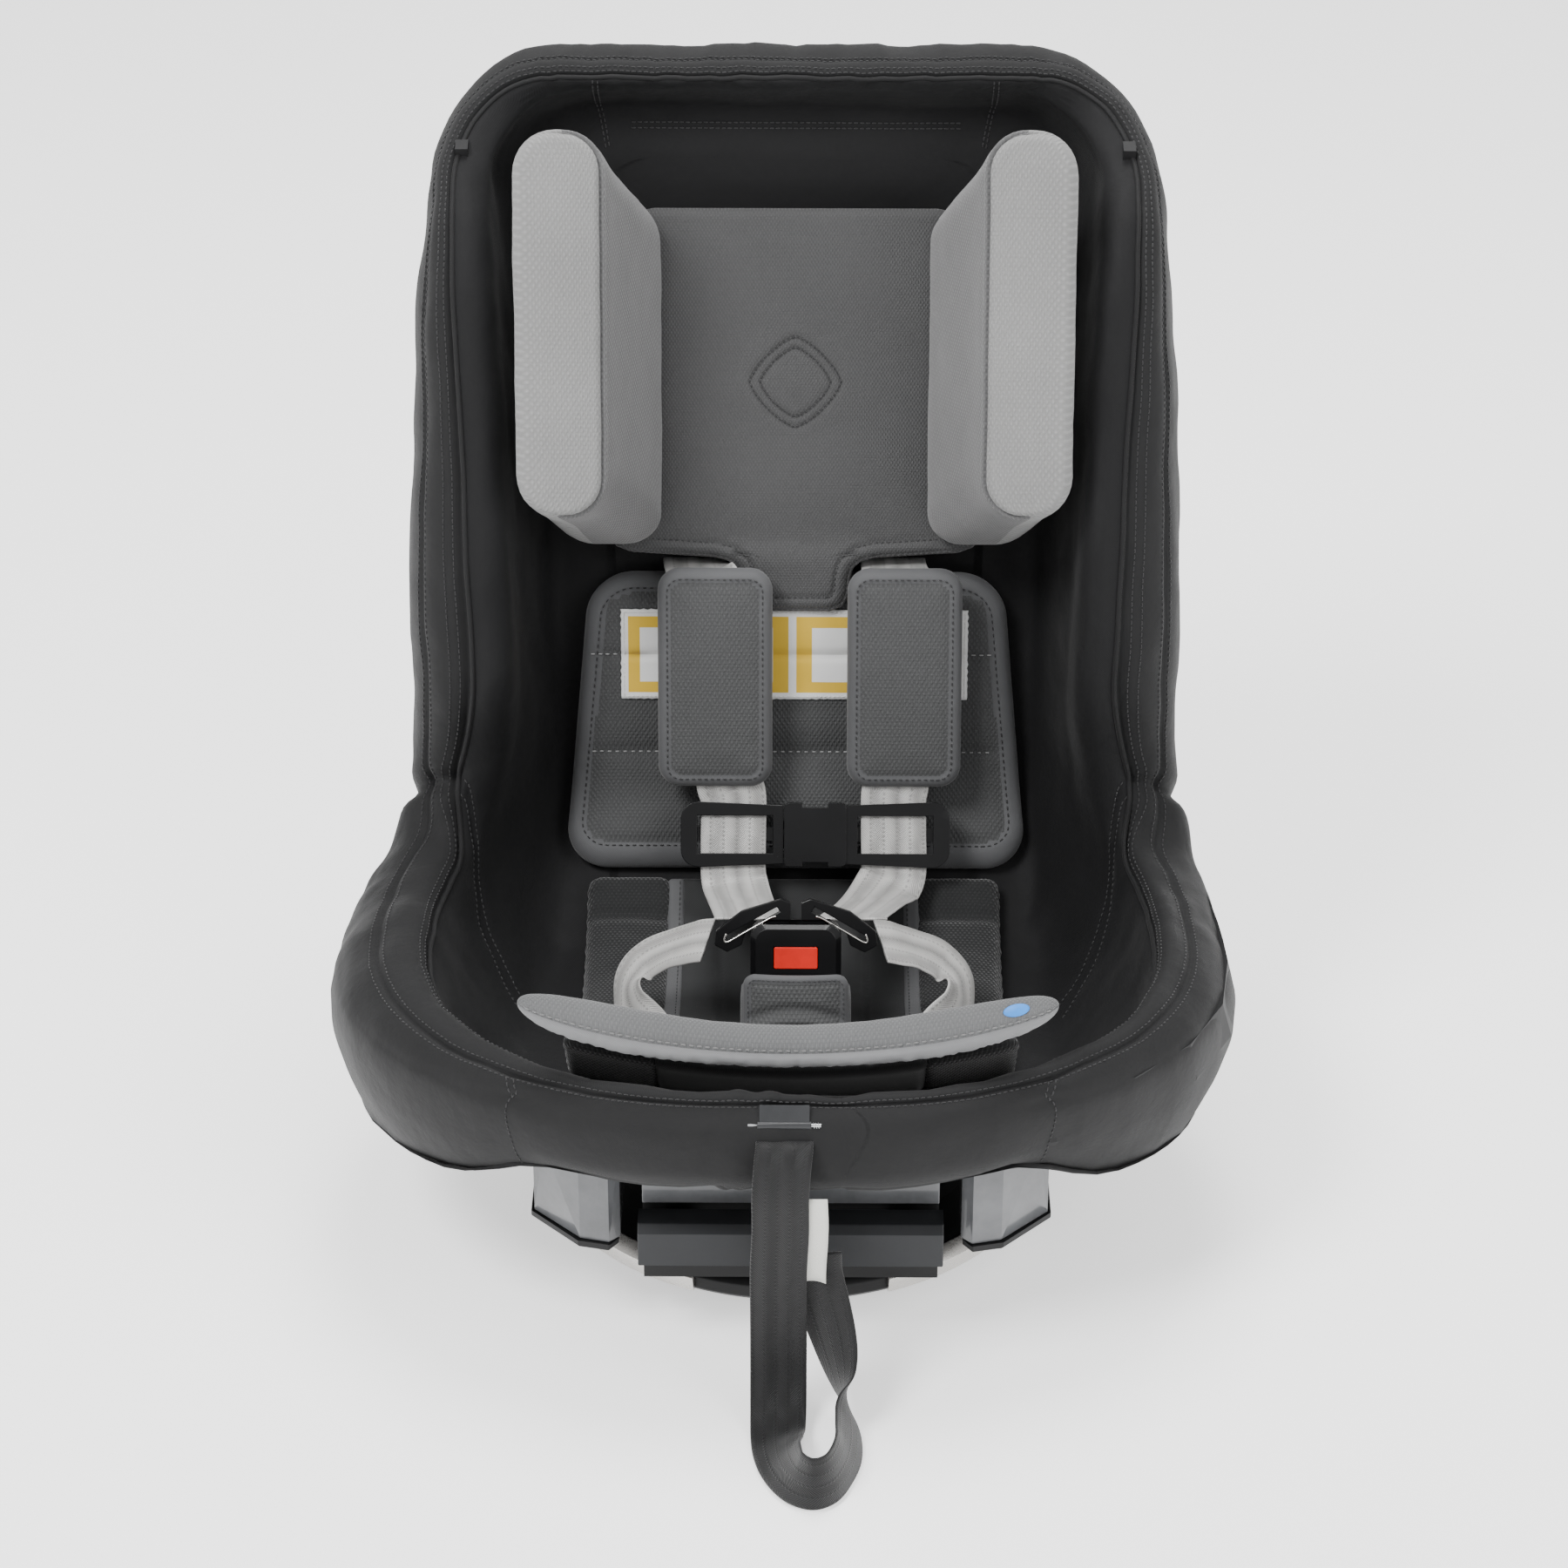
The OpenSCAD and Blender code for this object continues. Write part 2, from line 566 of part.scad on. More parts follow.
REST_SIDE = [[20, tongue_from], [27, tongue_from + 3], [30, tongue_from + 10], [31, rest_from - 12],
  [35, rest_from - 5], [44, rest_from - 1], [70, rest_from], [headrest_w - 12, rest_from + 1],
  [headrest_w - 4, rest_from + 5], [headrest_w, rest_from + 14], [headrest_w, rest_from + 60],
  [headrest_w - 3, rest_from + 120], [headrest_w - 8, rest_to - 14], [headrest_w - 12, rest_to - 4],
  [headrest_w - 22, rest_to]];
function rest_loop(inset, low, high) =
  let (mid_b = (tongue_from + rest_to) / 2,
       side = [for (p = REST_SIDE) [p[0] - inset, mid_b + (p[1] - mid_b) * (1 - 2 * inset / (rest_to - tongue_from))]])
  concat(
    [for (p = side) at(p[0], p[1], p[1] < rest_from - 4 ? low : high)],
    [for (p = turned(side)) at(-p[0], p[1], p[1] < rest_from - 4 ? low : high)]);
module headrest_pad() {
  color("#6c6e71")
  stack([rest_loop(3, tongue_h, 8.9), rest_loop(0, tongue_h + 2, 15),
    rest_loop(1, headrest_h - 2, headrest_h - 4), rest_loop(6, headrest_h, headrest_h)]);
}

// A bolster's loops: height, inner and outer edge, lowest and highest b, corner radius.
BOLSTER = [
  [headrest_h + 1, 78, 126, 534, 712, 14], [headrest_h + 10, 76, 134, 530, 724, 20],
  [60, 84, 145, 540, 742, 26], [88, 96, 152, 552, 762, 28], [bolster_h - 8, 103, 153, 560, 774, 24],
  [bolster_h, 110, 146, 570, 767, 16]];
module bolster(side) {
  stack([for (q = BOLSTER) pad_loop(side * (q[1] + q[2]) / 2, (q[2] - q[1]) / 2, q[3], q[4], q[5], q[0], 4)]);
}
module bolster_left() {
  color("#909295") bolster(-1);
}
module bolster_right() {
  color("#909295") bolster(1);
}

// ---- harness ---------------------------------------------------------------------------------
pad_front = 46;
pad_left_x = -45.5;
pad_right_x = 63.5;
pad_back = 32;
pad_low = 388;
pad_high = 517;
strap_h = 39;
slot_a = 57;
slot_b = 514;
// The chest clip's own frame: local z runs along the straps.
clip_x = 12.5;
clip_y = 101;
clip_z = 165;
clip_lean = 28;
clip_half = 77;
clip_h = 38;
clip_t = 7;
window_x = 46.5;
function clip_at(x, z) = [x, clip_y + z * sin(clip_lean), clip_z + z * cos(clip_lean)];
// Each strap comes through the backrest, down through its pad and the clip, and forward to its tongue.
function strap_route(side, pad_x, clip_dx, end_x) = [
  at(side * slot_a, slot_b, -26), at(side * slot_a, slot_b, 10),
  hung(side * slot_a + (pad_x - side * slot_a) * 0.3, slot_b - 4, 28),
  hung(pad_x, 496, strap_h), hung(pad_x, 440, strap_h), hung(pad_x + (clip_dx - pad_x) * 0.7, 392, strap_h),
  clip_at(clip_dx, 22), clip_at(clip_dx, 0), clip_at(clip_dx, -22),
  [clip_dx + (end_x - clip_dx) * 0.2, 80, 141], [clip_dx + (end_x - clip_dx) * 0.5, 58, 146],
  [clip_dx + (end_x - clip_dx) * 0.8, 28, 158], [end_x, 4, 169], [end_x, -5, 173]];
STRAP_FACE = [
  [0, 0.26, 0.97], [0, 0.1, 0.97], [0, -0.5, 0.86], [0, -0.97, 0.26], [0, -0.97, 0.26], [0, -0.95, 0.32],
  [0, -0.88, 0.47], [0, -0.88, 0.47], [0, -0.86, 0.5], [0, -0.4, 0.9], [0, 0.2, 0.97], [0, 0.37, 0.93],
  [0, 0.4, 0.92], [0, 0.42, 0.9]];
STRAP_LEFT = strap_route(-1, pad_left_x, clip_x - window_x - 1, -25);
STRAP_RIGHT = strap_route(1, pad_right_x, clip_x + window_x - 1, 34);
module shoulder_strap_left() {
  color("#b4b5b6") ribbon(STRAP_LEFT, STRAP_FACE, web_w, web_t);
}
module shoulder_strap_right() {
  color("#b4b5b6") ribbon(STRAP_RIGHT, STRAP_FACE, web_w, web_t);
}

module shoulder_pad(x) {
  pad_w = 33;
  stack([
    hung_loop(x, pad_w - 2, pad_low + 2, pad_high - 2, 10, pad_back),
    hung_loop(x, pad_w, pad_low, pad_high, 12, pad_back + 4),
    hung_loop(x, pad_w - 1, pad_low + 1, pad_high - 1, 11, pad_front - 4),
    hung_loop(x, pad_w - 6, pad_low + 6, pad_high - 6, 6, pad_front)]);
}
module shoulder_pad_left() {
  color("#5c5e61") shoulder_pad(pad_left_x);
}
module shoulder_pad_right() {
  color("#5c5e61") shoulder_pad(pad_right_x);
}

LAP_RIGHT = [
  [49, -26, 172], [58, -22, 168], [70, -16, 160], [84, -13, 150], [93, -20, 141], [93, -35, 134],
  [84, -50, 128], [76, -60, 120], [74, -64, 92]];
LAP_FACE_RIGHT = [
  [0.2, -0.3, 0.95], [0.3, -0.3, 0.93], [0.45, -0.2, 0.9], [0.7, -0.3, 0.64], [0.8, -0.6, 0.2], [0.5, -0.85, 0.1],
  [0.1, -0.9, 0.5], [0, -0.8, 0.5], [0, -1, 0.1]];
function flipped(v) = [for (p = v) [-p[0], p[1], p[2]]];
module lap_strap_right() {
  color("#b4b5b6") ribbon(LAP_RIGHT, LAP_FACE_RIGHT, web_w - 8, web_t);
}
module lap_strap_left() {
  color("#b4b5b6") ribbon([for (p = flipped(LAP_RIGHT)) p + [buckle_x, 0, 0]], flipped(LAP_FACE_RIGHT), web_w - 8, web_t);
}

// The buckle stands on the crotch strap and leans back. Its parts share one local frame.
buckle_y = -38;
buckle_z = 163;
buckle_lean = 19.3;
buckle_w = 50;
buckle_lo = -27;
buckle_hi = 25;
buckle_t = 22;
button_w = 24;
button_z = 1;
button_h = 12;
button_gap = 0.4;
module at_buckle() {
  translate([buckle_x, buckle_y, buckle_z]) rotate([-buckle_lean, 0, 0]) children();
}
function buckle_at(z) = [buckle_x, buckle_y + z * sin(buckle_lean), buckle_z + z * cos(buckle_lean)];
module side_rounded(w, h, t, r) {
  rotate([90, 0, 0]) translate([0, 0, -t / 2]) linear_extrude(height = t)
    offset(r) square([w - 2 * r, h - 2 * r], center = true);
}

module buckle_housing() {
  cavity_t = 13;
  color("#1a1b1d")
  at_buckle() difference() {
    hull() {
      for (x = [-1, 1], z = [buckle_lo + 8, buckle_hi - 8])
        translate([x * (buckle_w / 2 - 8), 0, z]) rotate([90, 0, 0])
          cylinder(r = 8, h = buckle_t - 6, center = true, $fn = 32);
      for (x = [-1, 1], z = [buckle_lo + 9, buckle_hi - 9])
        translate([x * (buckle_w / 2 - 10), 0, z]) rotate([90, 0, 0])
          cylinder(r = 7, h = buckle_t, center = true, $fn = 32);
    }
    translate([-18, -cavity_t / 2, buckle_lo + 8]) cube([36, cavity_t, buckle_hi - buckle_lo]);
    translate([-button_w / 2 - button_gap, -buckle_t, button_z - button_gap])
      cube([button_w + 2 * button_gap, buckle_t, button_h + 2 * button_gap]);
    translate([-web_w / 2 - 0.6 + 4, -1.6, buckle_lo - 2]) cube([web_w - 8 + 1.2, 3.2, 12]);
  }
}

module buckle_lock_plate() {
  color("#9a9ea3")
  at_buckle() difference() {
    translate([-16, 3.2, buckle_lo + 9]) cube([32, 1.8, 40]);
    translate([-8, 0, buckle_lo + 30]) cube([16, 8, 9]);
  }
}

module buckle_button() {
  color("#c8352c")
  at_buckle() union() {
    translate([-button_w / 2, -buckle_t / 2 - 0.6, button_z]) cube([button_w, 7.4, button_h]);
    translate([-button_w / 2 - 2, -buckle_t / 2 + 5, button_z - 3]) cube([button_w + 4, 1.8, button_h + 6]);
  }
}

module buckle_spring() {
  color("#b8bcc0")
  at_buckle() translate([0, -buckle_t / 2 + 7.4, button_z + button_h / 2])
    rotate([-90, 0, 0]) coil(2.4, 0.7, 6.3, 4);
}

// A tongue: a blade that enters the top of the buckle, and a grip beside the buckle's corner with
// the slit that the webbing runs through.
blade_t = 2.4;
grip_t = 3.6;
GRIP = [[3, 26], [18, 26], [27, 22], [30, 12], [38, 8], [45, 12], [44, 20], [30, 31], [8, 38], [3, 36]];
module tongue(side) {
  at_buckle() mirror([side < 0 ? 1 : 0, 0, 0]) difference() {
    union() {
      translate([4, -blade_t / 2, 4]) cube([12, blade_t, 24]);
      translate([0, grip_t / 2, 0]) rotate([90, 0, 0]) linear_extrude(height = grip_t) polygon(GRIP);
    }
    translate([7, -blade_t, 8]) cube([6, 2 * blade_t, 8]);
    translate([24, 0, 24]) rotate([0, 30, 0]) cube([33, 3 * grip_t, 3.2], center = true);
  }
}
module tongue_left() {
  color("#1a1b1d") tongue(-1);
}
module tongue_right() {
  color("#1a1b1d") tongue(1);
}

module crotch_strap() {
  color("#b4b5b6")
  ribbon(
    [buckle_at(buckle_lo + 6), buckle_at(buckle_lo - 7), [buckle_x, -52, 117], [buckle_x, -53, 80]],
    [[0, -1, 0.3]], web_w - 8, web_t);
}

module crotch_anchor() {
  color("#9a9ea3")
  difference() {
    translate([buckle_x, -53, 80.5]) rotate([-12, 0, 0]) cube([52, 26, 2], center = true);
    translate([buckle_x, -53, 79]) cube([web_w - 6, 2.6, 12], center = true);
  }
}

module crotch_pad() {
  color("#5c5e61")
  at_buckle() difference() {
    translate([0, 0, -23]) side_rounded(60, 44, 32, 7);
    translate([0, 0, -16]) side_rounded(buckle_w + 1.2, 62, buckle_t + 1.6, 4);
  }
}

// The chest clip: two framed halves that snap together over the shoulder straps. Each strap runs
// behind the frame's long bars and in front of its middle bar.
window_w = 44;
window_h = 22;
strap_room = web_t + 0.5;
module at_clip() {
  translate([clip_x, clip_y, clip_z]) rotate([-clip_lean, 0, 0]) children();
}
module clip_frame(side, from) {
  difference() {
    hull() {
      for (z = [-1, 1]) translate([side * (clip_half - 9), 0, z * (clip_h / 2 - 10)]) rotate([90, 0, 0])
        cylinder(r = 10, h = clip_t, center = true, $fn = 32);
      translate([side * (from + 1), 0, 0]) cube([2, clip_t, clip_h - 4], center = true);
    }
    translate([side * window_x, 0, 0]) cube([window_w, 3 * clip_t, window_h], center = true);
    translate([side * window_x, clip_t - strap_room / 2, 0]) cube([window_w, 2 * clip_t, 2 * clip_h], center = true);
  }
  translate([side * window_x, clip_t / 4 + strap_room / 4, 0])
    cube([window_w + 2, clip_t / 2 - strap_room / 2, 8], center = true);
}
module chest_clip_socket() {
  color("#1a1b1d")
  at_clip() difference() {
    union() {
      clip_frame(1, 17);
      side_rounded(36, clip_h - 1, clip_t + 4, 3);
    }
    translate([-30, -2.6, -10]) cube([42, 5.2, 20]);
    for (z = [-1, 1]) translate([0, 0, z * (clip_h / 2 + 1)]) cube([15, 20, 8], center = true);
  }
}
module chest_clip_plug() {
  prong = 4.6;
  color("#1a1b1d")
  at_clip() union() {
    clip_frame(-1, 18.4);
    for (z = [-1, 1]) {
      translate([-21, -2.2, z * 5.5 - prong / 2]) cube([31, 4.4, prong]);
      translate([6, -2.2, z * 7.2 - prong / 2]) cube([4, 4.4, prong]);
    }
  }
}

// ---- harness adjuster ------------------------------------------------------------------------
slot_x = -3;
slot_y = -201;
slot_z = 162;
slot_w = 40;
lever_z = slot_z + 7.5;
lever_lean = 32;
module adjuster_bracket() {
  color("#9a9ea3")
  translate([slot_x, slot_y, slot_z]) difference() {
    side_rounded(slot_w, 8.5, 2, 1.5);
    cube([strap_w + 2, 6, 4], center = true);
  }
}
module at_lever() {
  translate([slot_x, slot_y - 1, lever_z]) children();
}
module adjuster_pin() {
  color("#9a9ea3")
  at_lever() rotate([0, 90, 0]) cylinder(r = 1, h = 38, center = true, $fn = 32);
}
module adjuster_lever() {
  color("#2c2d30")
  at_lever() difference() {
    union() {
      rotate([0, 90, 0]) cylinder(r = 2, h = 28, center = true, $fn = 32);
      rotate([-lever_lean, 0, 0]) translate([-13, -1.4, 0.5]) cube([26, 2, 10]);
    }
    rotate([0, 90, 0]) cylinder(r = 1.05, h = 60, center = true, $fn = 32);
  }
}
module adjuster_spring() {
  color("#b8bcc0")
  at_lever() translate([14.5, 0, 0]) rotate([0, 90, 0]) coil(1.5, 0.5, 3.6, 3);
}

// The free adjuster strap: out of the slot, down to the floor, forward in a loop that stands on its
// edge where it turns, and back up to where its end is sewn behind the strap.
STRAP_ROUTE = [
  [-3, -203, 162], [-3, -210, 160], [-4, -216, 152], [-5, -220, 136], [-5, -221, 114], [-6, -221, 90],
  [-6, -221, 66], [-6, -222, 44], [-6, -226, 24], [-6, -235, 10], [-6, -250, 5], [-5, -268, 9],
  [-2, -285, 13], [4, -298, 15], [13, -304, 16], [22, -299, 16], [28, -286, 16], [31, -268, 15],
  [31, -250, 16], [29, -236, 22], [26, -226, 34], [22, -220, 50], [17, -217, 68], [13, -216, 84], [12, -216, 98]];
STRAP_FACING = [
  [0, -0.3, 0.95], [0, -0.5, 0.86], [0, -0.8, 0.6], [0, -1, 0.1], [0, -1, 0], [0, -1, 0], [0, -1, 0],
  [0, -1, 0.1], [0, -0.9, 0.4], [-0.1, -0.5, 0.85], [-0.25, -0.1, 0.97], [-0.5, -0.1, 0.85], [-0.7, -0.35, 0.6],
  [-0.5, -0.8, 0.35], [0, -1, 0.2], [0.55, -0.8, 0.2], [0.9, -0.35, 0.3], [0.9, 0, 0.45], [0.85, 0.2, 0.45],
  [0.75, 0.55, 0.3], [0.6, 0.8, 0.2], [0.4, 0.9, 0.1], [0.2, 1, 0], [0, 1, 0], [0, 1, 0]];
module adjuster_strap() {
  color("#1b1b1d") ribbon(STRAP_ROUTE, STRAP_FACING, strap_w, web_t);
}
module strap_tag() {
  color("#e4e4e0")
  translate([12, -218, 108]) rotate([0, -5, 0]) cube([15, 0.8, 52], center = true);
}

// ---- back of the seat ------------------------------------------------------------------------
module splitter_plate() {
  color("#9a9ea3")
  difference() {
    stack([for (h = [-33, -30.6]) pad_loop(0, 62, 430, 462, 6, h, 2)]);
  }
}
module rear_strap() {
  color("#b4b5b6")
  ribbon([at(0, 434, -28.4), at(0, 400, -28.4), at(0, 350, -28.4), at(0, 318, -28.4)], [lift(440)], web_w, web_t);
}
module cover_eyelets() {
  color("#303134")
  for (side = [-1, 1])
    translate(at(side * (back_w + 1), 540, 52)) rotate([0, 90, 0]) rotate_extrude($fn = 40)
      translate([5, 0]) square([2.4, 2]);
}
module shade_sockets() {
  color("#303134")
  for (side = [-1, 1])
    translate(at(side * (back_w - 23), 750, 50)) rotate([90 - BACK_TILT, 0, 0]) difference() {
      cube([7, 9, 22], center = true);
      cube([9, 4, 16], center = true);
    }
}
module tether_anchor() {
  color("#9a9ea3")
  translate(at(0, 640, -belly_h - 8)) rotate([-15, 0, 0]) difference() {
    cube([54, 9, 16], center = true);
    translate([0, 0, 2]) cube([42, 30, 5], center = true);
  }
}
module tether_strap() {
  color("#1b1b1d")
  ribbon([at(0, 640, -34), at(0, 628, -36), at(0, 596, -34.6), at(0, 548, -33.6)],
    [-lift(620)], web_w, web_t);
}

dock_hub();
hub_steel_ring();
latch_jaws_left();
latch_jaws_right();
jaw_springs();
carriage();
carriage_front_panel();
saddle_liners();
carriage_screws();
release_handle();
handle_springs();
shell();
foam_liner();
seat_cover();
rocker_rails();
glide_keepers();
cowl_left();
cowl_right();
cowl_trims();
lumbar_pad();
label_patch();
seat_pad();
seat_pad_edge();
edge_tag();
guide_rails();
shoulder_strap_left();
shoulder_strap_right();
shoulder_pad_left();
shoulder_pad_right();
lap_strap_left();
lap_strap_right();
crotch_strap();
crotch_anchor();
crotch_pad();
buckle_housing();
buckle_lock_plate();
buckle_spring();
buckle_button();
tongue_left();
tongue_right();
chest_clip_socket();
chest_clip_plug();
adjuster_bracket();
adjuster_lever();
adjuster_pin();
adjuster_spring();
adjuster_strap();
strap_tag();
splitter_plate();
rear_strap();
cover_eyelets();
shade_sockets();
tether_anchor();
tether_strap();
headrest_plate();
headrest_pad();
bolster_left();
bolster_right();
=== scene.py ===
"""Convertible child car seat: fabric, webbing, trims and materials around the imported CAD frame.

Lengths inside the helpers are in millimetres, in the CAD source's own terms, and become metres when a mesh
is made. Soft parts follow the bucket in bent coordinates: a across, b along the seat from front to top, and
h above its face.
"""

import math

import bpy
import numpy as np
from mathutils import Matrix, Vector, noise


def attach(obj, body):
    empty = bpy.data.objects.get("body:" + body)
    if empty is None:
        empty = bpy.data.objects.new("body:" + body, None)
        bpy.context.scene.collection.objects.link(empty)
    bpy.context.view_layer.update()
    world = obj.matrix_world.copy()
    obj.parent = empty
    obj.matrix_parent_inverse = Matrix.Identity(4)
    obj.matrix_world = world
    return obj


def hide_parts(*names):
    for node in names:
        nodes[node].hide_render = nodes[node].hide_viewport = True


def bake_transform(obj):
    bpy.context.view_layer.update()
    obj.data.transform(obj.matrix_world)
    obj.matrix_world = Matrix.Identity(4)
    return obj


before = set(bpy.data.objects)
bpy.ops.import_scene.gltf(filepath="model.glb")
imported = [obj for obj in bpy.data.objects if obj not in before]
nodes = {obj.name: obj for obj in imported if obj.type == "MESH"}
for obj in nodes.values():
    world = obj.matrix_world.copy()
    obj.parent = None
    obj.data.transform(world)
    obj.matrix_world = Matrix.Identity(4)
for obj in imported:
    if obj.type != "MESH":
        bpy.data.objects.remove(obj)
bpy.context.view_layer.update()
MM = 0.001

# ---- camera, floor and light ---------------------------------------------------------------------
CAM_ELEVATION = math.radians(30)
CAM_YAW = math.radians(0.45)
CAM_DISTANCE = 2.3
CAM_AIM = Vector((-0.0047, -0.01425, 0.2653))


def make_camera():
    data = bpy.data.cameras.new("camera")
    data.sensor_width = 36
    data.lens = 96.84
    cam = bpy.data.objects.new("camera", data)
    bpy.context.scene.collection.objects.link(cam)
    back = Vector((math.sin(CAM_YAW) * math.cos(CAM_ELEVATION), -math.cos(CAM_YAW) * math.cos(CAM_ELEVATION),
                   math.sin(CAM_ELEVATION)))
    cam.location = CAM_AIM + CAM_DISTANCE * back
    cam.rotation_euler = (math.pi / 2 - CAM_ELEVATION, 0, CAM_YAW)
    bpy.context.scene.camera = cam


def area_light(name, place, aim, size, power, colour=(1, 1, 1)):
    data = bpy.data.lights.new(name, "AREA")
    data.shape = "DISK"
    data.size = size
    data.energy = power
    data.color = colour
    light = bpy.data.objects.new(name, data)
    light.location = place
    light.rotation_euler = (Vector(aim) - Vector(place)).to_track_quat("-Z", "Y").to_euler()
    bpy.context.scene.collection.objects.link(light)


make_camera()
area_light("key", (-1.3, -1.3, 2.7), (0, 0, 0.3), 1.1, 92)
area_light("fill", (1.7, -1.5, 1.7), (0, 0, 0.3), 1.5, 26)
area_light("top", (0.1, 0.7, 2.7), (0, 0.05, 0.3), 1.2, 60)
world = bpy.data.worlds.new("studio")
world.use_nodes = True
world.node_tree.nodes["Background"].inputs["Color"].default_value = (1, 1, 1, 1)
world.node_tree.nodes["Background"].inputs["Strength"].default_value = 0.8
bpy.context.scene.world = world

# ---- materials -----------------------------------------------------------------------------------


class Shader:
    """A material under construction; the helpers return sockets."""

    def __init__(self, name):
        self.mat = bpy.data.materials.new(name)
        self.mat.use_nodes = True
        self.tree = self.mat.node_tree
        self.bsdf = self.tree.nodes["Principled BSDF"]

    def put(self, socket, value):
        if isinstance(value, bpy.types.NodeSocket):
            self.tree.links.new(value, socket)
        else:
            socket.default_value = value

    def math(self, op, a, b=0.0, c=0.0):
        node = self.tree.nodes.new("ShaderNodeMath")
        node.operation = op
        for socket, value in zip(node.inputs, (a, b, c)):
            self.put(socket, value)
        return node.outputs[0]

    def uv(self):
        """(u, v) sockets in millimetres, from the piece's own layout."""
        node = self.tree.nodes.new("ShaderNodeUVMap")
        split = self.tree.nodes.new("ShaderNodeSeparateXYZ")
        self.tree.links.new(node.outputs[0], split.inputs[0])
        return [self.math("MULTIPLY", split.outputs[k], 1000.0) for k in (0, 1)]

    def place(self):
        return self.tree.nodes.new("ShaderNodeTexCoord").outputs["Object"]

    def noise(self, scale, detail=2.0, rough=0.5, vector=None):
        node = self.tree.nodes.new("ShaderNodeTexNoise")
        node.inputs["Scale"].default_value = scale
        node.inputs["Detail"].default_value = detail
        node.inputs["Roughness"].default_value = rough
        self.tree.links.new(vector or self.place(), node.inputs["Vector"])
        return node.outputs["Fac"]

    def ramp(self, fac, low, high, start=0.0, end=1.0):
        node = self.tree.nodes.new("ShaderNodeMapRange")
        node.inputs["From Min"].default_value = start
        node.inputs["From Max"].default_value = end
        node.inputs["To Min"].default_value = low
        node.inputs["To Max"].default_value = high
        self.put(node.inputs["Value"], fac)
        return node.outputs["Result"]

    def mix(self, fac, dark, light):
        node = self.tree.nodes.new("ShaderNodeMix")
        node.data_type = "RGBA"
        self.put(node.inputs["Factor"], fac)
        self.put(node.inputs[6], (*dark, 1))
        self.put(node.inputs[7], (*light, 1))
        return node.outputs[2]

    def wave(self, value, pitch, phase=0.0):
        """A sine of that pitch in millimetres, from 0 to 1."""
        turned = self.math("MULTIPLY_ADD", value, 2 * math.pi / pitch, phase)
        return self.math("MULTIPLY_ADD", self.math("SINE", turned), 0.5, 0.5)

    def bump(self, height, distance, strength=1.0, below=None):
        node = self.tree.nodes.new("ShaderNodeBump")
        node.inputs["Strength"].default_value = strength
        node.inputs["Distance"].default_value = distance
        self.put(node.inputs["Height"], height)
        if below is not None:
            self.tree.links.new(below, node.inputs["Normal"])
        return node.outputs["Normal"]

    def done(self, colour, rough, normal=None, metal=0.0, sheen=0.0, coat=0.0, specular=0.5):
        self.put(self.bsdf.inputs["Base Color"], colour)
        self.put(self.bsdf.inputs["Roughness"], rough)
        self.bsdf.inputs["Metallic"].default_value = metal
        self.bsdf.inputs["Sheen Weight"].default_value = sheen
        self.bsdf.inputs["Sheen Roughness"].default_value = 0.45
        self.bsdf.inputs["Coat Weight"].default_value = coat
        self.bsdf.inputs["Specular IOR Level"].default_value = specular
        if normal is not None:
            self.tree.links.new(normal, self.bsdf.inputs["Normal"])
        return self.mat


def shade(colour, factor):
    return tuple(min(1.0, c * factor) for c in colour)


def air_mesh(name, colour, pitch=2.3, depth=0.35, sheen=0.25):
    """Knitted spacer mesh: staggered oval cells."""
    s = Shader(name)
    u, v = s.uv()
    diagonal_a = s.math("ADD", u, s.math("MULTIPLY", v, 0.62))
    diagonal_b = s.math("SUBTRACT", u, s.math("MULTIPLY", v, 0.62))
    cells = s.math("MULTIPLY", s.wave(diagonal_a, pitch), s.wave(diagonal_b, pitch))
    fine = s.wave(v, 0.8)
    height = s.math("MULTIPLY_ADD", fine, 0.18, cells)
    broad = s.noise(14, 3)
    tone = s.math("ADD", s.math("MULTIPLY", cells, 0.5), s.math("MULTIPLY", broad, 0.5))
    base = s.mix(tone, shade(colour, 0.70), shade(colour, 1.22))
    soft = s.bump(s.noise(55, 3), 0.0012, 0.5)
    normal = s.bump(height, depth * MM, 0.9, soft)
    return s.done(base, s.ramp(broad, 0.78, 0.95), normal, sheen=sheen, specular=0.25)


def twill(name, colour, pitch=0.9, depth=0.12, sheen=0.35, rough=(0.55, 0.75), crease=0.0016, specular=0.3):
    """Plain woven cloth with a diagonal line and a little lustre."""
    s = Shader(name)
    u, v = s.uv()
    slant = s.wave(s.math("ADD", u, v), pitch)
    thread = s.wave(u, pitch * 0.5)
    height = s.math("MULTIPLY_ADD", slant, 0.7, s.math("MULTIPLY", thread, 0.3))
    broad = s.noise(9, 4, 0.6)
    tone = s.math("ADD", s.math("MULTIPLY", slant, 0.45), s.math("MULTIPLY", broad, 0.55))
    base = s.mix(tone, shade(colour, 0.6), shade(colour, 1.5))
    soft = s.bump(s.noise(34, 4, 0.55), crease, 0.55)
    normal = s.bump(height, depth * MM, 0.8, soft)
    return s.done(base, s.ramp(broad, *rough), normal, sheen=sheen, specular=specular)


def printed_cloth(name, colour, crease):
    return twill(name, colour, pitch=0.5, depth=0.04, rough=(0.6, 0.75), crease=crease)


def broad_noise(s, v):
    """Slow noise that runs along a strap."""
    combine = s.tree.nodes.new("ShaderNodeCombineXYZ")
    s.put(combine.inputs["Y"], v)
    return s.noise(0.045, 3, 0.6, combine.outputs[0])


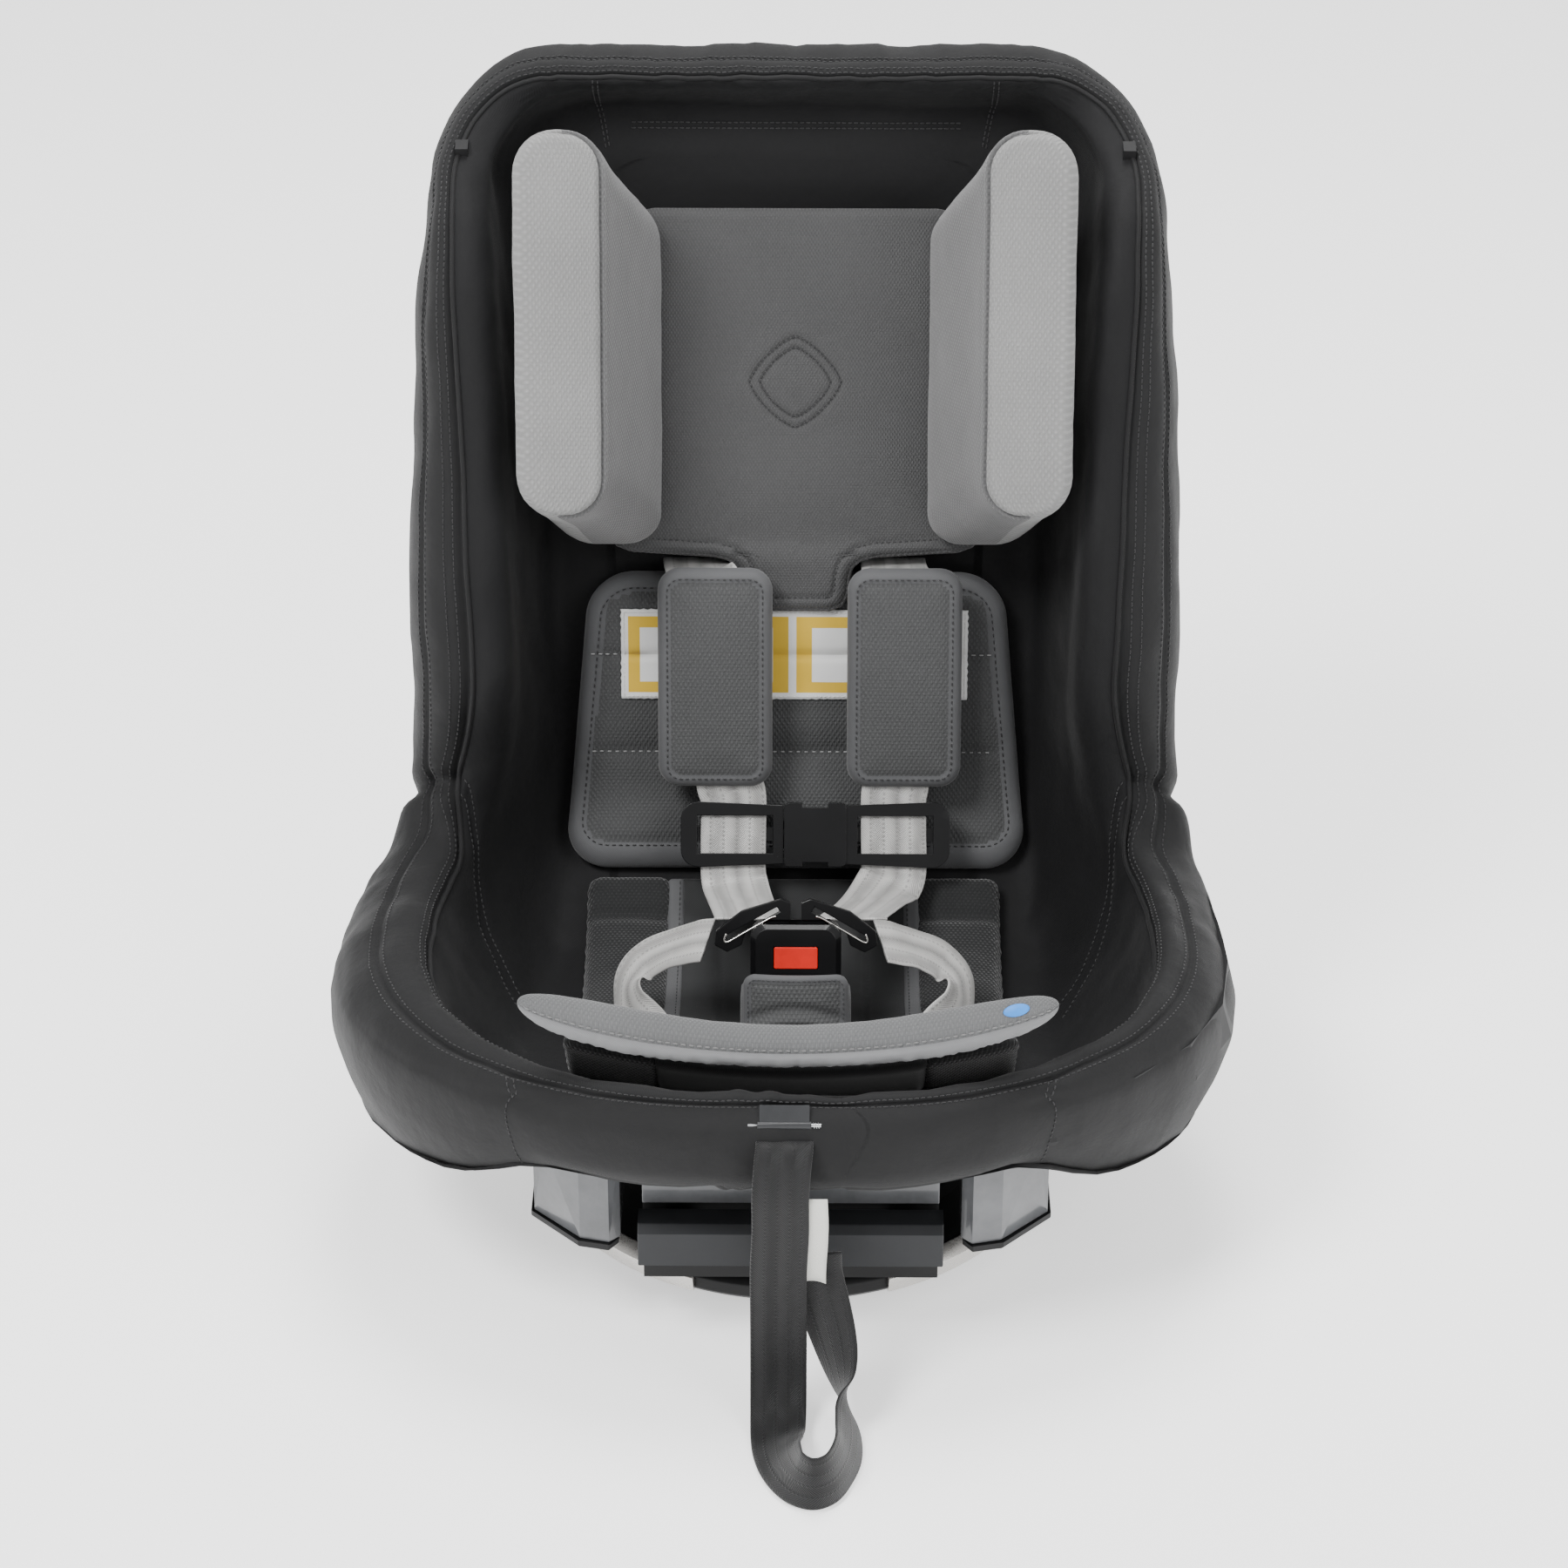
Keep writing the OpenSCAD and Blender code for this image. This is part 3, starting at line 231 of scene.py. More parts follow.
def webbing(name, colour, rows=5, rough=(0.32, 0.5), lustre=0.6):
    """Seat-belt webbing: twill that turns at each row, with a dotted line between the rows."""
    s = Shader(name)
    u, v = s.uv()
    row = 38.0 / rows
    zigzag = s.math("PINGPONG", u, row)
    slant = s.wave(s.math("ADD", v, zigzag), 1.3)
    line = s.math("POWER", s.wave(u, row), 14.0)
    dots = s.math("MULTIPLY", line, s.wave(v, 2.4))
    height = s.math("SUBTRACT", slant, s.math("MULTIPLY", dots, 1.4))
    band = s.wave(s.math("MULTIPLY_ADD", broad_noise(s, v), 9.0, u), row * 1.6)
    tone = s.math("SUBTRACT", s.math("MULTIPLY_ADD", slant, 0.35, s.math("MULTIPLY", band, 0.65)),
                  s.math("MULTIPLY", dots, 0.8))
    base = s.mix(tone, shade(colour, 0.60), shade(colour, 1.25))
    return s.done(base, s.ramp(slant, *rough), s.bump(height, 0.00016, 0.9), sheen=0.2, specular=lustre)


def moulded(name, colour, rough=(0.38, 0.52), grain=900, depth=0.00006, specular=0.35, coat=0.0):
    """Injection-moulded plastic: fine grain, with rubbed lighter places."""
    s = Shader(name)
    rubbed = s.noise(28, 5, 0.65)
    base = s.mix(s.ramp(rubbed, 0, 1, 0.35, 0.75), shade(colour, 0.82), shade(colour, 1.28))
    normal = s.bump(s.noise(grain, 2), depth, 0.6)
    return s.done(base, s.ramp(rubbed, *rough), normal, specular=specular, coat=coat)


def metal(name, colour, rough=(0.2, 0.38), along=(1, 60, 60)):
    """Stamped or brushed metal with drawn lines."""
    s = Shader(name)
    mapping = s.tree.nodes.new("ShaderNodeMapping")
    mapping.inputs["Scale"].default_value = along
    s.tree.links.new(s.place(), mapping.inputs["Vector"])
    lines = s.noise(16, 4, 0.6, mapping.outputs[0])
    stain = s.noise(24, 3)
    base = s.mix(s.ramp(stain, 0, 1, 0.3, 0.7), shade(colour, 0.82), colour)
    return s.done(base, s.ramp(lines, *rough), s.bump(lines, 0.00003, 0.5), metal=1.0)


def thread(name, colour):
    s = Shader(name)
    twist = s.noise(1800, 1)
    return s.done(s.mix(twist, shade(colour, 0.7), shade(colour, 1.25)), s.ramp(twist, 0.55, 0.75),
                  s.bump(twist, 0.00008, 0.6), sheen=0.2)


COVER_CLOTH = twill("cover_twill", (0.0078, 0.0078, 0.0082), sheen=0.06, crease=0.0028, specular=0.22)
COVER_INNER = twill("cover_inner", (0.0065, 0.0065, 0.0070), sheen=0.05, crease=0.0022, specular=0.18)
HEADREST_CLOTH = air_mesh("headrest_mesh", (0.068, 0.068, 0.069), pitch=2.0, depth=0.4)
BOLSTER_CLOTH = air_mesh("bolster_mesh", (0.250, 0.250, 0.247), pitch=3.0, depth=0.65)
BOLSTER_FACE = air_mesh("bolster_face", (0.125, 0.125, 0.126), pitch=2.4, depth=0.4)
PAD_CLOTH = air_mesh("pad_mesh", (0.070, 0.071, 0.072), pitch=2.8, depth=0.6)
PAD_BINDING = twill("pad_binding", (0.074, 0.075, 0.078), pitch=0.8, sheen=0.2, crease=0.0008)
SEAT_CLOTH = air_mesh("seat_mesh", (0.017, 0.0175, 0.018), pitch=2.6, depth=0.5)
SEAT_CENTRE = twill("seat_centre", (0.015, 0.0155, 0.016), pitch=1.1, sheen=0.2, crease=0.0008)
EDGE_CLOTH = air_mesh("edge_mesh", (0.135, 0.137, 0.139), pitch=2.4, depth=0.55)
EDGE_BINDING = twill("edge_binding", (0.175, 0.177, 0.181), pitch=0.8, sheen=0.2, crease=0.0008)
HARNESS_WEB = webbing("harness_webbing", (0.36, 0.355, 0.345))
BLACK_WEB = webbing("black_webbing", (0.0075, 0.0075, 0.008), rows=6, rough=(0.45, 0.6), lustre=0.25)
LABEL_CLOTH = printed_cloth("label_cloth", (0.70, 0.70, 0.68), 0.0006)
LABEL_BORDER = printed_cloth("label_border", (0.62, 0.40, 0.035), 0.0006)
TAG_CLOTH = printed_cloth("tag_cloth", (0.60, 0.60, 0.56), 0.0005)
BLACK_PLASTIC = moulded("black_plastic", (0.005, 0.005, 0.0055), specular=0.28)
SHELL_PLASTIC = moulded("shell_plastic", (0.006, 0.006, 0.0065), rough=(0.5, 0.65), grain=420,
                        depth=0.00012, specular=0.25)
BUCKLE_PLASTIC = moulded("buckle_plastic", (0.0035, 0.0035, 0.004), rough=(0.24, 0.34), depth=0.00002,
                         specular=0.3)
HANDLE_PLASTIC = moulded("handle_plastic", (0.015, 0.016, 0.018), rough=(0.42, 0.6), grain=700)
GLIDE_PLASTIC = moulded("glide_plastic", (0.028, 0.029, 0.031), rough=(0.3, 0.45))
GREY_GLOSS = moulded("grey_gloss", (0.115, 0.118, 0.124), rough=(0.16, 0.26), grain=260, depth=0.00002,
                     coat=0.35)
RED_PLASTIC = moulded("red_plastic", (0.62, 0.018, 0.010), rough=(0.3, 0.42), depth=0.00003)
BLUE_PRINT = moulded("blue_print", (0.03, 0.22, 0.66), rough=(0.4, 0.5), depth=0.00002)
STEEL = metal("steel_blade", (0.70, 0.68, 0.65))
PLATED = metal("plated_steel", (0.55, 0.56, 0.57), rough=(0.24, 0.4))
SPRING = metal("spring_wire", (0.62, 0.63, 0.64), rough=(0.2, 0.35), along=(40, 40, 40))
BLACK_THREAD = thread("black_thread", (0.012, 0.012, 0.013))
DARK_THREAD = thread("dark_thread", (0.030, 0.030, 0.032))
GREY_THREAD = thread("grey_thread", (0.16, 0.16, 0.16))
SILVER_THREAD = thread("silver_thread", (0.30, 0.30, 0.30))
WHITE_THREAD = thread("white_thread", (0.72, 0.72, 0.70))

FLOOR = Shader("floor")
pale = FLOOR.mix(FLOOR.noise(3, 2), (0.93, 0.93, 0.93), (0.95, 0.95, 0.95))
FLOOR.done(pale, FLOOR.ramp(FLOOR.noise(40, 2), 0.6, 0.7), specular=0.2)
FLOOR.bsdf.inputs["Emission Color"].default_value = (1, 1, 1, 1)
FLOOR.bsdf.inputs["Emission Strength"].default_value = 0.9


def make_floor():
    bpy.ops.mesh.primitive_plane_add(size=30, location=(0, 0, -0.0006))
    floor = bpy.context.object
    floor.name = "floor"
    floor.data.materials.append(FLOOR.mat)


make_floor()

# ---- bent coordinates of the bucket, as in the CAD source ----------------------------------------
STEP = 60.0
BACK_STEP = np.array([15.55, 58.0])
PAN = np.array([[-180, 165], [-130, 132], [-76, 108], [-18, 96], [42, 94], [98, 112], [140, 154],
                [159.7, 211]], float)
SPINE = np.array([PAN[i] if i < 8 else PAN[7] + (i - 7) * BACK_STEP for i in range(15)])
FLOOR_W = np.array([154, 156, 156, 154, 150, 144, 141, 141, 142, 144, 146, 148, 150, 150, 150], float)
RIM_W = np.array([198, 202, 204, 204, 199, 187, 174, 166, 166, 168, 170, 173, 175, 176, 176], float)
RIM_H = np.array([13, 46, 70, 82, 82, 78, 90, 100, 100, 100, 95, 95, 82, 36, 20], float)
OUT_W = np.interp(range(15), [0, 2, 3, 4, 5, 6, 7, 8, 9, 11, 13, 14],
                  [248, 253, 253, 249, 235, 217, 215, 215, 214, 208, 196, 190])
OUT_H = np.array([-25, 6, 28, 35, 38, 42, 48, 50, 50, 50, 48, 46, 38, 8, 2], float)
SKIRT_H = np.array([-40, -18, -2, 5, 5, 0, -4, -8, -8, -8, -8, -8, -10, -16, -18], float)


def along(values, s):
    """Catmull-Rom through evenly spaced values, at s in steps."""
    v = np.asarray(values, float)
    start, end = v[0] - v[1], v[-1] - v[-2]
    before = [v[0] + k * start for k in (3, 2, 1)]
    after = [v[-1] + k * end for k in (1, 2, 3)]
    v = np.concatenate([before, v, after])
    s = np.asarray(s, float)
    i = np.floor(s).astype(int)
    t = s - i
    i = np.clip(i + 3, 1, len(v) - 3)
    if v.ndim > 1:
        t = t[..., None]
    p, q, r, u = v[i - 1], v[i], v[i + 1], v[i + 2]
    return 0.5 * (2 * q + (r - p) * t + (2 * p - 5 * q + 4 * r - u) * t**2 + (3 * q - p - 3 * r + u) * t**3)


def ease(t):
    t = np.clip(t, 0, 1)
    return t * t * (3 - 2 * t)


def lift(b):
    tilt = np.radians(75 * ease((np.asarray(b, float) / STEP - 3) / 6))
    return np.stack([0 * tilt, -np.sin(tilt), np.cos(tilt)], -1)


def at(a, b, h):
    a, b, h = np.broadcast_arrays(np.asarray(a, float), np.asarray(b, float), np.asarray(h, float))
    s = along(SPINE, b / STEP)
    return np.concatenate([a[..., None], s], -1) + h[..., None] * lift(b)


def hung(a, b, h):
    """The same, in the backrest's own flat plane."""
    a, b, h = np.broadcast_arrays(np.asarray(a, float), np.asarray(b, float), np.asarray(h, float))
    s = PAN[7] + ((b / STEP - 7)[..., None]) * BACK_STEP
    return np.concatenate([a[..., None], s], -1) + h[..., None] * lift(np.full(b.shape, 540.0))


BUCKLE = np.array([2.0, -38.0, 163.0])
BUCKLE_LEAN = math.radians(19.3)
CLIP = np.array([12.5, 101.0, 165.0])
CLIP_LEAN = math.radians(28)


def leaning(origin, lean):
    """A map from (across, along, towards the viewer) in a leaning local frame."""
    up = np.array([0, math.sin(lean), math.cos(lean)])
    out = np.array([0, -math.cos(lean), math.sin(lean)])

    def place(x, z, d):
        x, z, d = np.broadcast_arrays(np.asarray(x, float), np.asarray(z, float), np.asarray(d, float))
        return origin + x[..., None] * np.array([1.0, 0, 0]) + z[..., None] * up + d[..., None] * out

    return place


at_buckle = leaning(BUCKLE, BUCKLE_LEAN)

# ---- mesh helpers --------------------------------------------------------------------------------


def unit(v):
    return v / np.maximum(np.linalg.norm(v, axis=-1, keepdims=True), 1e-9)


def wobble(points, scale, seed=0.0, stretch=(1, 1, 1)):
    """Smooth noise from -1 to 1 at points in millimetres."""
    p = np.asarray(points, float).reshape(-1, 3) * np.array(stretch) / scale + seed
    return np.array([noise.noise(Vector(q)) for q in p]).reshape(np.asarray(points).shape[:-1])


def make_mesh(name, verts, faces, materials, uvs=None, face_material=None):
    """An object from points in millimetres; uvs are per vertex, also in millimetres."""
    mesh = bpy.data.meshes.new(name)
    mesh.from_pydata((np.asarray(verts, float) * MM).tolist(), [], [tuple(int(i) for i in f) for f in faces])
    if uvs is not None:
        layer = mesh.uv_layers.new(name="UVMap")
        loops = np.zeros(len(mesh.loops), int)
        mesh.loops.foreach_get("vertex_index", loops)
        layer.data.foreach_set("uv", (np.asarray(uvs, float)[loops] * MM).ravel())
    for material in materials:
        mesh.materials.append(material)
    if face_material is not None:
        mesh.polygons.foreach_set("material_index", np.asarray(face_material, np.int32))
    mesh.polygons.foreach_set("use_smooth", np.ones(len(mesh.polygons), bool))
    mesh.validate()
    mesh.update()
    obj = bpy.data.objects.new(name, mesh)
    bpy.context.scene.collection.objects.link(obj)
    return obj


def grid_faces(rows, cols, closed=False, start=0):
    faces = []
    for i in range(rows - 1):
        row = start + i * cols
        for j in range(cols if closed else cols - 1):
            k = (j + 1) % cols
            faces.append((row + j, row + k, row + cols + k, row + cols + j))
    return faces


def sheet_faces(rows, cols):
    """Faces of a sheet: an upper grid of points, the same grid below it, and the rim between them."""
    total = rows * cols
    rim = list(range(cols)) + [i * cols + cols - 1 for i in range(1, rows)]
    rim += [total - 1 - j for j in range(1, cols)] + [i * cols for i in range(rows - 2, 0, -1)]
    sides = [(p, p + total, q + total, q) for p, q in zip(rim, rim[1:] + rim[:1])]
    return grid_faces(rows, cols) + [f[::-1] for f in grid_faces(rows, cols, start=total)] + sides


def grid_normals(p, closed=False):
    """Normals of a grid of points, towards the side that its faces look to."""
    if closed:
        around = np.roll(p, -1, 1) - np.roll(p, 1, 1)
    else:
        around = np.gradient(p, axis=1)
    return unit(np.cross(around, np.gradient(p, axis=0)))


def lengths(p):
    """Distance along a path from its start."""
    return np.concatenate([[0], np.cumsum(np.linalg.norm(np.diff(p, axis=0), axis=1))])


def resample(p, step, *more):
    """Points step apart along a path, with any other arrays taken along."""
    s = lengths(p)
    n = max(2, int(round(s[-1] / step)) + 1)
    t = np.linspace(0, s[-1], n)
    out = [np.stack([np.interp(t, s, q[:, i]) for i in range(q.shape[1])], 1) for q in (p, *more)]
    return out if more else out[0]


def smooth_path(p, per=8, closed=False):
    p = np.asarray(p, float)
    if closed:
        n = len(p)
        wide = np.concatenate([p[-3:], p, p[:4]])
        return along(wide, 3 + np.arange(n * per + 1) / per)
    return along(p, np.linspace(0, len(p) - 1, (len(p) - 1) * per + 1))


def tube(name, path, radius, material, body, sides=8, closed=False):
    """A round tube along a path, for piping, cords and wire."""
    p = np.asarray(path, float)
    if closed and np.linalg.norm(p[0] - p[-1]) < 1e-6:
        p = p[:-1]
    tangent = unit(np.roll(p, -1, 0) - np.roll(p, 1, 0)) if closed else unit(np.gradient(p, axis=0))
    side = np.cross(tangent[0], [0, 0.3, 1.0])
    frames = []
    for t in tangent:
        side = side - t * (side @ t)
        side = side / np.linalg.norm(side)
        frames.append((side, np.cross(t, side)))
    angle = 2 * np.pi * np.arange(sides) / sides
    r = np.broadcast_to(np.asarray(radius, float), (len(p),))
    verts = np.array([q + rr * (np.cos(angle)[:, None] * f[0] + np.sin(angle)[:, None] * f[1])
                      for q, f, rr in zip(p, frames, r)]).reshape(-1, 3)
    faces = grid_faces(len(p), sides, closed=True)
    if closed:
        last = (len(p) - 1) * sides
        faces += [(last + j, last + (j + 1) % sides, (j + 1) % sides, j) for j in range(sides)]
    else:
        faces += [tuple(range(sides))[::-1], tuple(len(verts) - sides + j for j in range(sides))]
    s = np.repeat(lengths(p), sides)
    uvs = np.stack([np.tile(angle * float(r.mean()), len(p)), s], 1)
    obj = make_mesh(name, verts, faces, [material], uvs)
    if body:
        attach(obj, body)
    return obj


STITCH = []


def stitches(group, path, normals, pitch=3.0, size=2.1, width=0.62, raised=0.25):
    """Thread lying on a surface along a path; stitches of one group become one piece."""
    p, n = resample(np.asarray(path, float), pitch, np.asarray(normals, float))
    if len(p) < 3:
        return
    t = unit(np.gradient(p, axis=0))
    n = unit(n - t * np.sum(n * t, 1, keepdims=True))
    STITCH.append((group, p, t, n, size, width, raised))


def flush_stitches():
    """Makes one piece of each group's stitches."""
    groups = {}
    for group, *rest in STITCH:
        groups.setdefault(group, []).append(rest)
    for (name, material, body), sets in groups.items():
        verts, faces = [], []
        for p, t, n, size, width, raised in sets:
            s = np.cross(n, t)
            for q, tt, nn, ss in zip(p, t, n, s):
                base = len(verts)
                centre = q + nn * raised
                verts.append(centre - tt * size / 2 - nn * raised * 1.2)
                for share in (-0.3, 0.3):
                    for k in range(6):
                        f = math.pi * k / 3
                        spoke = math.cos(f) * ss + math.sin(f) * nn
                        verts.append(centre + tt * size * share + width / 2 * spoke)
                verts.append(centre + tt * size / 2 - nn * raised * 1.2)
                for k in range(6):
                    m = (k + 1) % 6
                    faces.append((base, base + 1 + m, base + 1 + k))
                    faces.append((base + 1 + k, base + 1 + m, base + 7 + m, base + 7 + k))
                    faces.append((base + 13, base + 7 + k, base + 7 + m))
        obj = make_mesh(name, verts, faces, [material])
        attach(obj, body)


def strap(name, route, facing, width, thick, material, per=8, ripple=0.0, seed=0.0):
    """Flat webbing along a route: a thin closed band with rounded edges."""
    p = smooth_path(route, per)
    face = unit(smooth_path(facing, per))
    t = unit(np.gradient(p, axis=0))
    side = unit(np.cross(t, face))
    up = unit(np.cross(side, t))
    s = lengths(p)
    x = np.array([-1, -0.97, -0.9, -0.6, -0.3, 0, 0.3, 0.6, 0.9, 0.97, 1.0])
    edge = np.array([0.25, 0.8, 1, 1, 1, 1, 1, 1, 1, 0.8, 0.25])
    ring_x = np.concatenate([x, x[::-1]])
    ring_h = np.concatenate([edge, -edge[::-1]]) * thick / 2
    verts = (p[:, None] + side[:, None] * (ring_x * width / 2)[None, :, None]
             + up[:, None] * ring_h[None, :, None])
    if ripple:
        flat = np.stack([np.repeat(s, len(x)), np.tile(x * width, len(s)), np.zeros(len(s) * len(x))], 1)
        lines = wobble(flat, 14, seed).reshape(len(s), len(x))
        verts += up[:, None] * (ripple * np.concatenate([lines, lines[:, ::-1]], 1))[..., None]
    n = len(ring_x)
    faces = [f[::-1] for f in grid_faces(len(p), n, closed=True)]
    faces += [tuple(range(n)), tuple(len(p) * n - n + j for j in range(n))[::-1]]
    uvs = np.stack([np.tile(ring_x * width / 2 + 19, len(p)), np.repeat(s, n)], 1)
    return make_mesh(name, verts.reshape(-1, 3), faces, [material], uvs)


# ---- adjuster strap ------------------------------------------------------------------------------
STRAP_ROUTE = [
    [-3, -203, 162], [-3, -210, 160], [-4, -216, 152], [-5, -220, 136], [-5, -221, 114], [-6, -221, 90],
    [-6, -221, 66], [-6, -222, 44], [-6, -226, 24], [-6, -235, 10], [-6, -250, 5], [-5, -268, 9],
    [-2, -285, 13], [4, -298, 15], [13, -304, 16], [22, -299, 16], [28, -286, 16], [31, -268, 15],
    [31, -250, 16], [29, -236, 22], [26, -226, 34], [22, -220, 50], [17, -217, 68], [13, -216, 84],
    [12, -216, 98]]
STRAP_FACING = [
    [0, -0.3, 0.95], [0, -0.5, 0.86], [0, -0.8, 0.6], [0, -1, 0.1], [0, -1, 0], [0, -1, 0], [0, -1, 0],
    [0, -1, 0.1], [0, -0.9, 0.4], [-0.1, -0.5, 0.85], [-0.25, -0.1, 0.97], [-0.5, -0.1, 0.85],
    [-0.7, -0.35, 0.6], [-0.5, -0.8, 0.35], [0, -1, 0.2],
    [0.55, -0.8, 0.2], [0.9, -0.35, 0.3], [0.9, 0, 0.45], [0.85, 0.2, 0.45],
    [0.75, 0.55, 0.3], [0.6, 0.8, 0.2], [0.4, 0.9, 0.1], [0.2, 1, 0], [0, 1, 0], [0, 1, 0]]


def make_adjuster_strap():
    piece = strap("adjuster_webbing", STRAP_ROUTE, STRAP_FACING, 30, 1.7, BLACK_WEB, per=10)
    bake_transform(piece)
    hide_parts("adjuster_strap")
    rows = np.linspace(0, 1, 14)
    cols = np.linspace(-7.5, 7.5, 6)
    x = 12 + cols[None, :] + 0.6 * np.sin(rows * 5)[:, None]
    z = 134 - 52 * rows[:, None] + 0 * x
    y = -218.4 - 1.4 * np.sin(rows * 3.3)[:, None] - 0.05 * (cols**2)[None, :] * rows[:, None]
    front = np.stack([x, y + 0 * x, z], -1)
    back = front + np.array([0, 0.7, 0])
    verts = np.concatenate([front.reshape(-1, 3), back.reshape(-1, 3)])
    uvs = np.tile(np.stack([x, z], -1).reshape(-1, 2), (2, 1))
    tag = make_mesh("strap_label", verts, sheet_faces(14, 6), [TAG_CLOTH], uvs)
    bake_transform(tag)
    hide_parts("strap_tag")
    route = smooth_path(STRAP_ROUTE, 10)


make_adjuster_strap()

# ---- cover ---------------------------------------------------------------------------------------
ZERO = OUT_H * 0
BELLY_MIX = FLOOR_W + (OUT_W - FLOOR_W) * 0.62 + 6
BELLY_LOW = -18 + (SKIRT_H + 18) * 0.45
HEM_W = OUT_W - 9
COVER_ROWS = [
    (FLOOR_W - 34, 58, 86, 746, 34, ZERO),
    (FLOOR_W, 26, 112, 774, 42, ZERO),
    (FLOOR_W + (RIM_W - FLOOR_W) * 0.66, 8, 145, 783, 46, RIM_H * 0.5),
    (RIM_W - 4, -4, 165, 787, 50, RIM_H - 7),
    (RIM_W + 12, -14, 178, 793, 56, RIM_H),
    (RIM_W + (OUT_W - RIM_W) * 0.75 + 4, -22, 192, 801, 62, RIM_H + (OUT_H - RIM_H) * 0.3),
    (OUT_W, -26, 212, 806, 66, OUT_H),
    (HEM_W, -21, 204, 802, 62, SKIRT_H),
    (HEM_W + (BELLY_MIX - HEM_W) * 0.22, -15, 192, 798, 60, SKIRT_H + (BELLY_LOW - SKIRT_H) * 0.22 - 3.5),
    (HEM_W + (BELLY_MIX - HEM_W) * 0.45, -9, 180, 794, 58, SKIRT_H + (BELLY_LOW - SKIRT_H) * 0.45 - 3)]
COVER_TABLE = np.array([np.concatenate([w, [f, fr, t, tr], h]) for w, f, fr, t, tr, h in COVER_ROWS])
ARC_N, SIDE_N, ACROSS_N = 18, 124, 44
SIDE_COUNT = ARC_N + 1 + SIDE_N - 1 + ARC_N + 1
LOOP_COUNT = 2 * SIDE_COUNT + 2 * (ACROSS_N - 1)
COVER_SPANS = [(0, 2.8, 0.1), (2.8, 5.4, 0.045), (5.4, 7.2, 0.08), (7.2, 9.01, 0.2)]
COVER_V = np.unique(np.round(np.concatenate([np.arange(*span) for span in COVER_SPANS]), 3))


def cover_ab(v):
    """One loop of the cover at v: across, along and height, from the right front corner round the top."""
    row = along(COVER_TABLE, v)
    w, (front, front_r, top, top_r), h = row[:15], row[15:19], row[19:]
    f = np.pi / 2 * np.arange(ARC_N + 1) / ARC_N
    b_front = front + front_r * (1 - np.cos(f))
    b_side = front + front_r + (top - top_r - front - front_r) * np.arange(1, SIDE_N) / SIDE_N
    b_top = top - top_r * (1 - np.sin(f))
    a = np.concatenate([along(w, b_front / STEP) - front_r * (1 - np.sin(f)), along(w, b_side / STEP),
                        along(w, b_top / STEP) - top_r * (1 - np.cos(f))])
    b = np.concatenate([b_front, b_side, b_top])
    share = np.arange(1, ACROSS_N) / ACROSS_N
    top_a = a[-1] * (1 - 2 * share)
    front_a = -a[0] * (1 - 2 * share)
    a = np.concatenate([a, top_a, -a[::-1], front_a])
    b = np.concatenate([b, np.full(ACROSS_N - 1, top), b[::-1], np.full(ACROSS_N - 1, front)])
    return a, b, along(h, b / STEP)


def seam_in(b):
    """Where the piped seam runs: inside the wings below, along the rim above."""
    return 3.02 + 1.1 * ease((b - 255) / 95)


def seam_out(b):
    return 4.28 + 0.72 * ease((b - 275) / 110)


def wall_seam(v):
    """Where the seam on the bucket's inner wall runs."""
    return 338 - 44 * (3.9 - v)


def dip(x, width):
    return np.exp(-((x / width) ** 2))


def pleats(x, y, row):
    """Noise for gathers that change along x."""
    values = [noise.noise(Vector((p, row, q))) for p, q in zip(np.ravel(x), np.ravel(y))]
    return np.array(values).reshape(np.shape(x))


def cover_relief(a, b, v, p):
    """How far the cloth stands off the smooth form, in millimetres."""
    side = np.abs(a)
    inner, outer = seam_in(b), seam_out(b)
    low = 1 - ease((b - 290) / 70)
    out = np.zeros_like(a)
    puff = np.clip((v - inner) / (outer - inner), 0, 1)
    out += 3.2 * np.sin(np.pi * puff) ** 0.8
    out -= 2.4 * dip(v - inner - 0.1, 0.07) + 1.5 * dip(v - outer, 0.06)
    panel = np.clip((v - outer) / (6.9 - outer), 0, 1)
    out += (2.0 + 2.5 * low) * np.sin(np.pi * panel)
    fold_b = 338 + 5 * (v - 4)
    out -= 7.0 * dip(b - fold_b, 9) * ease((v - 3.7) / 0.7) * (side > 120)
    wall = ease((3.95 - v) / 0.3) * ease((v - 0.9) / 0.6) * (side > 100)
    out -= 2.2 * dip(b - wall_seam(v), 5) * wall
    belly = np.clip(v / np.maximum(inner, 1), 0, 1)
    out += 2.5 * np.sin(np.pi * belly) * ease((b - 20) / 60) * ease((740 - b) / 60)
    lip = ease((60 - b) / 60) * (v > outer)
    seam_x = dip(side - 142, 3.0) * lip
    out -= 1.6 * seam_x
    broad = wobble(p, 46, 3.1)
    cross = wobble(p, 17, 8.7, (1.0, 1.0, 0.45))
    fine = wobble(p, 8, 5.3, (1, 0.5, 0.5))
    live = ease(v / 0.8) * ease((8.6 - v) / 0.8)
    out += live * (2.0 * broad + (0.9 + 0.5 * low) * cross + 0.35 * fine)
    gather = pleats(side / 7.5, 0.4 * v, 2.2)
    top = ease((b - 700) / 70) * (side < 150)
    out += 2.4 * gather * top * dip(v - (inner - 0.45), 0.9)
    out += 1.8 * gather * top * dip(v - 5.6, 0.8)
    hem_s = np.arange(1.0, a.shape[1] + 1)[None, :] / 3.2 + 0 * a
    hem = pleats(hem_s, 0.6 * v, 7.7)
    out += 2.4 * hem * ease((v - 6.3) / 0.7) * ease((8.8 - v) / 0.5)
    pleat = pleats(a / 11, 0.5 * v, 4.4)
    out += 1.7 * pleat * ease((70 - b) / 60) * (dip(v - 4.0, 0.6) + 0.7 * dip(v - 3.1, 0.5))
    return out + (2.2 - 7.5 * low * ease((side - 60) / 90)) * ease((v - 4.3) / 0.8)


